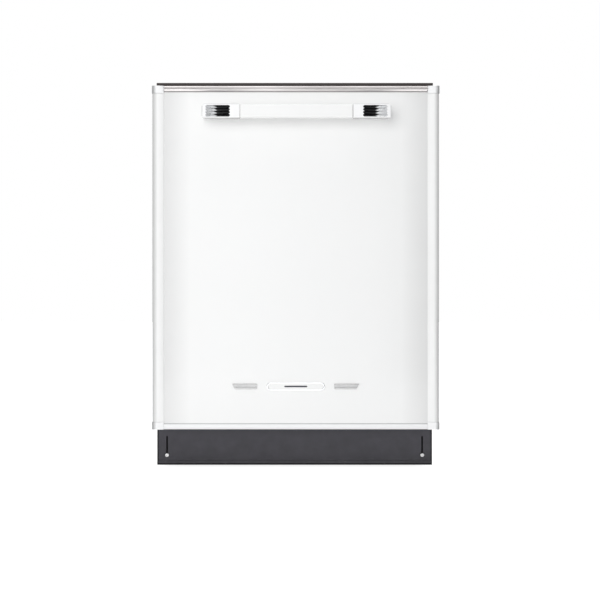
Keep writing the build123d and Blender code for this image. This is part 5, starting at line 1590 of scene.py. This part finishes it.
def felt_mat():
    """One soft mat laid over the tub: down both sides, crowned and lumpy on top, rounded at its cut ends."""
    right_half = [(FELT_HALF, z) for z in spread(FELT.z0, FELT_TOP - FELT_ROUND, 24)]
    right_half += arc(FELT_HALF - FELT_ROUND, FELT_TOP - FELT_ROUND, FELT_ROUND, 0, 90, 6)[1:]
    right_half += [(x, FELT_TOP) for x in spread(FELT_HALF - FELT_ROUND, 0, 28)[1:]]
    profile = right_half + [(-x, z) for x, z in right_half[::-1][1:]]
    ends = [0.0, 1.2, 3.0, 6.0, 10.0]
    lengths = [FELT_FRONT + e for e in ends] + spread(
        FELT_FRONT + 20, FELT_BACK - 20, 44,
    ) + [FELT_BACK - e for e in ends[::-1]]

    def place(x, z, y, depth):
        edge = min(y - FELT_FRONT, FELT_BACK - y)
        tuck = 5.0 * (1 - math.sqrt(1 - (1 - min(edge, 10.0) / 10.0) ** 2))
        swell = 0.55 * math.sin(x / 31 + 1.3) * math.sin(y / 37 + 0.4) + 0.35 * math.sin(
            x / 13 + y / 17
        ) + 0.2 * math.sin(y / 9 - x / 23)
        if depth:
            half, high = FELT_HALF - depth + tuck, FELT_TOP - depth + tuck
            return (max(-half, min(half, x)), y, min(z, high))
        if z > FELT_TOP - FELT_ROUND:
            return (x * (1 - tuck / FELT_HALF), y, z - tuck + swell)
        lean = (tuck - swell * 0.6) * (1 if x > 0 else -1)
        return (x - lean, y, z)

    form = Form()
    loop = [(x, z, 0.0) for x, z in profile] + [(x, z, FELT_THICK) for x, z in profile[::-1]]
    stack = loft(form, [[place(x, z, y, depth) for x, z, depth in loop] for y in lengths])
    for ring in (stack[0], stack[-1]):
        for i in range(len(profile) - 1):
            form.mesh.faces.new((ring[i], ring[i + 1], ring[-i - 2], ring[-i - 1]))
    form.box((-FELT_HALF + 12, 311.4, FELT.z0 + 2), (FELT_HALF - 12, FELT_BACK, FELT_TOP - 14), 6.0, 4)
    return form


mat = dress("insulation_blanket", "felt_mat", felt_mat(), angle=60, even=False)

# ---------------------------------------------------------------- inside of the tub
TUB = Span("tub_back")
back_field = stamp(34, -2.4, 40, 9) + stamp(70, -1.8, 24, 7, base=-2.4)
back_sheet = pressed((TUB.x0, TUB.x1, TUB.z0, TUB.z1, back_field), wall=TUB.y1 - TUB.y0)
dress("tub_back", "tub_back_sheet", stand(back_sheet, "XZ", TUB.y1))

GASKET = Span("tub_gasket")
TUB_HALF, TUB_TOP, TUB_ROUND = 272.5, 785.0, 36.5


def gasket():
    """A hollow bulb on a flat root, run up one side, round the arch and down the other, and a lip along the floor."""
    half, top, radius = TUB_HALF + 0.5, TUB_TOP + 0.5, TUB_ROUND
    bulb = [(3.4 * cosine(a), 2.6 * sine(a)) for a in range(15, 166, 15)]
    section = [(0.2, 0.0), (0.2, 3.2)] + [(3.6 - out, 3.0 + deep) for out, deep in bulb] + [(6.9, 3.2), (6.9, 0.0)]
    path = [(half, z) for z in (140.0, 300.0, 450.0, 600.0)] + arc(half - radius, top - radius, radius, 0, 90, 12)
    path += [(-x, z) for x, z in path[::-1]]
    form = Form()
    rings = []
    for i, (x, z) in enumerate(path):
        before, after = path[max(i - 1, 0)], path[min(i + 1, len(path) - 1)]
        along = Vector((after[0] - before[0], after[1] - before[1])).normalized()
        out = Vector((along.y, -along.x))
        rings.append([(x + out.x * o, GASKET.y1 - d, z + out.y * o) for o, d in section])
    loft(form, rings, True)
    lip = [(0, 0), (3.0, 0)] + [(3.0 + deep, 3.5 - out) for out, deep in bulb] + [(3.0, 7.0), (0, 7.0)]
    form.prism([(GASKET.y1 - y, GASKET.z0 + z) for y, z in lip], "X", -TUB_HALF, TUB_HALF)
    return form


dress("tub_gasket", "door_gasket", gasket(), angle=50)

# ---------------------------------------------------------------- fixings and ribs on plain sheets and mouldings
RIBS, RIB_STEP, RIB_START = 15, 39.5, -278
rib = Form().box((RIB_START, TRAY.y1 - 0.6, 26), (RIB_START + 3, TRAY.y1 + 2.4, 127), 0.8, 2)
tray_ribs = Form().take(repeated(rib, slots["base_tray"], RIBS, (RIB_STEP, 0, 0)))
by_fittings = [v for v in tray_ribs.mesh.verts if abs(v.co.x) < 22 or VALVE.x0 - 2 < v.co.x < VALVE.x1 + 2]
bmesh.ops.delete(tray_ribs.mesh, geom=by_fittings, context="VERTS")
band = Form().box((-296, TRAY.y1 - 0.6, 112), (296, TRAY.y1 + 1.8, 116), 0.6, 2)
piece("base_tray_ribs", "cabinet", slots["base_tray"], joined(tray_ribs, band))

places = [(side * 288.4, LINER_BACK, z) for side in (-1, 1) for z in (180, 330, 480, 630, 780)]
piece("liner_screws", "door", "zinc_steel", facing(cross_screw(3.4, 1.4), (0, 1, 0), *places))

guide_screws = []
for side in (-1, 1):
    places = [(side * (-GUIDE.x0 - 13.0), y, GUIDE.z1 - 4.0) for y in (-180, 40, 260)]
    guide_screws.append(facing(cross_screw(3.0, 1.2), (-side, 0, 0), *places))
piece("guide_screws", "cabinet", "zinc_steel", joined(*guide_screws))

# ---------------------------------------------------------------- room, light and camera
EYE_DISTANCE, EYE_SIDE, EYE_HEIGHT = 2.113, -0.070, 0.3648
FOCAL, SIDE_SHIFT = 60.24, 0.0626
FLOOR_GLOW, FLOOR_REACH, ROOM_GLOW = 0.86, 14.0, 0.58


def fresh(block):
    """The emptied node tree of a material or a world, and a function that adds nodes to it."""
    block.use_nodes = True
    tree = block.node_tree
    tree.nodes.clear()

    def add(kind, **values):
        node = tree.nodes.new("ShaderNode" + kind)
        for key, value in values.items():
            node.inputs[key].default_value = value
        return node

    return tree, add


def emitter(name, colour, strength):
    material = bpy.data.materials.new(name)
    tree, add = fresh(material)
    glow = add("Emission", Color=(*colour, 1.0), Strength=strength)
    chain(tree, (glow, 0, add("OutputMaterial"), "Surface"))
    return material


def flat_card(name, middle, across, up, material):
    mesh = bpy.data.meshes.new(name)
    mesh.from_pydata(
        [middle + across * i + up * j for i, j in ((-1, -1), (1, -1), (1, 1), (-1, 1))], [], [(0, 1, 2, 3)],
    )
    mesh.materials.append(material)
    item = bpy.data.objects.new(name, mesh)
    scene.collection.objects.link(item)
    return item


def card(name, middle, size, toward, material):
    """A flat studio card that shows only in mirrors."""
    across = toward.cross(Vector((0, 0, 1))).normalized()
    up = across.cross(toward).normalized()
    item = flat_card(name, middle, across * size[0] / 2, up * size[1] / 2, material)
    for way in ("camera", "diffuse", "transmission", "volume_scatter", "shadow"):
        setattr(item, "visible_" + way, False)


def eye_rays(tree):
    """A node that gives 1 for rays from the eye, also by way of a mirror or glass, and 0 for the rest."""
    path, first, both = (tree.nodes.new(kind) for kind in ("ShaderNodeLightPath", "ShaderNodeMath", "ShaderNodeMath"))
    first.operation = both.operation = "MAXIMUM"
    chain(
        tree,
        (path, "Is Camera Ray", first, 0),
        (path, "Is Glossy Ray", first, 1),
        (first, 0, both, 0),
        (path, "Is Transmission Ray", both, 1),
    )
    return both


def floor():
    """A pale floor that shows white to the eye and keeps the machine's shadow."""
    material = bpy.data.materials.new("studio floor")
    tree, add = fresh(material)
    body, glow = add("BsdfDiffuse", Color=(0.85, 0.85, 0.85, 1.0)), add("Emission", Color=WHITE)
    both, share = add("AddShader"), add("Math")
    share.operation = "MULTIPLY"
    share.inputs[1].default_value = FLOOR_GLOW
    chain(
        tree,
        (eye_rays(tree), 0, share, 0),
        (share, 0, glow, "Strength"),
        (body, 0, both, 0),
        (glow, 0, both, 1),
        (both, 0, add("OutputMaterial"), "Surface"),
    )
    item = flat_card("studio_floor", Vector(), Vector((FLOOR_REACH, 0, 0)), Vector((0, FLOOR_REACH, 0)), material)
    item.location.z = -0.0005


def world():
    """White to the eye and in glass, a soft grey room to the rest."""
    room = bpy.data.worlds.new("studio")
    scene.world = room
    tree, add = fresh(room)
    mixed = add("MixShader")
    seen = add("Background", Color=WHITE, Strength=1.0)
    lit = add("Background", Color=(0.97, 0.98, 1.0, 1.0), Strength=ROOM_GLOW)
    chain(
        tree,
        (eye_rays(tree), 0, mixed, 0),
        (lit, 0, mixed, 1),
        (seen, 0, mixed, 2),
        (mixed, 0, add("OutputWorld"), "Surface"),
    )


def lamp(name, place, aim, size, power):
    """A soft box."""
    light = bpy.data.lights.new(name, "AREA")
    light.shape = "RECTANGLE"
    light.size, light.size_y = size
    light.energy = power
    item = bpy.data.objects.new(name, light)
    item.location = place
    item.rotation_euler = (Vector(aim) - Vector(place)).to_track_quat("-Z", "Y").to_euler()
    scene.collection.objects.link(item)
    return item


floor()
world()
lamp("key_box", (-0.9, -2.8, 0.9), (-0.05, -0.25, 0.42), (1.8, 1.8), 31).visible_glossy = False
lamp("top_box", (0.0, -0.3, 2.9), (0.0, 0.0, 0.0), (1.8, 1.8), 10)

DARK = emitter("dark card", (0.02, 0.02, 0.022), 1.0)
flags = (
    ("side_flag_0", (-1.15, -1.35, 0.8), (1.8, 2.2), (1, 0, 0)),
    ("side_flag_2", (1.15, -1.35, 0.8), (1.8, 2.2), (-1, 0, 0)),
    ("right_flag", (1.2, -2.6, 0.8), (1.4, 2.4), (0, 1, 0)),
    ("left_flag", (-1.15, -2.6, 0.95), (1.4, 2.0), (0, 1, 0)),
)
for name, middle, size, toward in flags:
    card(name, Vector(middle), size, Vector(toward), DARK)

camera = bpy.data.objects.new("camera", bpy.data.cameras.new("camera"))
camera.data.sensor_width = 36.0
camera.data.lens, camera.data.shift_x = FOCAL, SIDE_SHIFT
camera.location = (EYE_SIDE, Y_DOOR * MM - EYE_DISTANCE, EYE_HEIGHT)
camera.rotation_euler = (math.radians(90), 0, 0)
camera.data.clip_start, camera.data.clip_end = 0.05, 60.0
scene.collection.objects.link(camera)
scene.camera = camera
scene.view_settings.view_transform = "Standard"
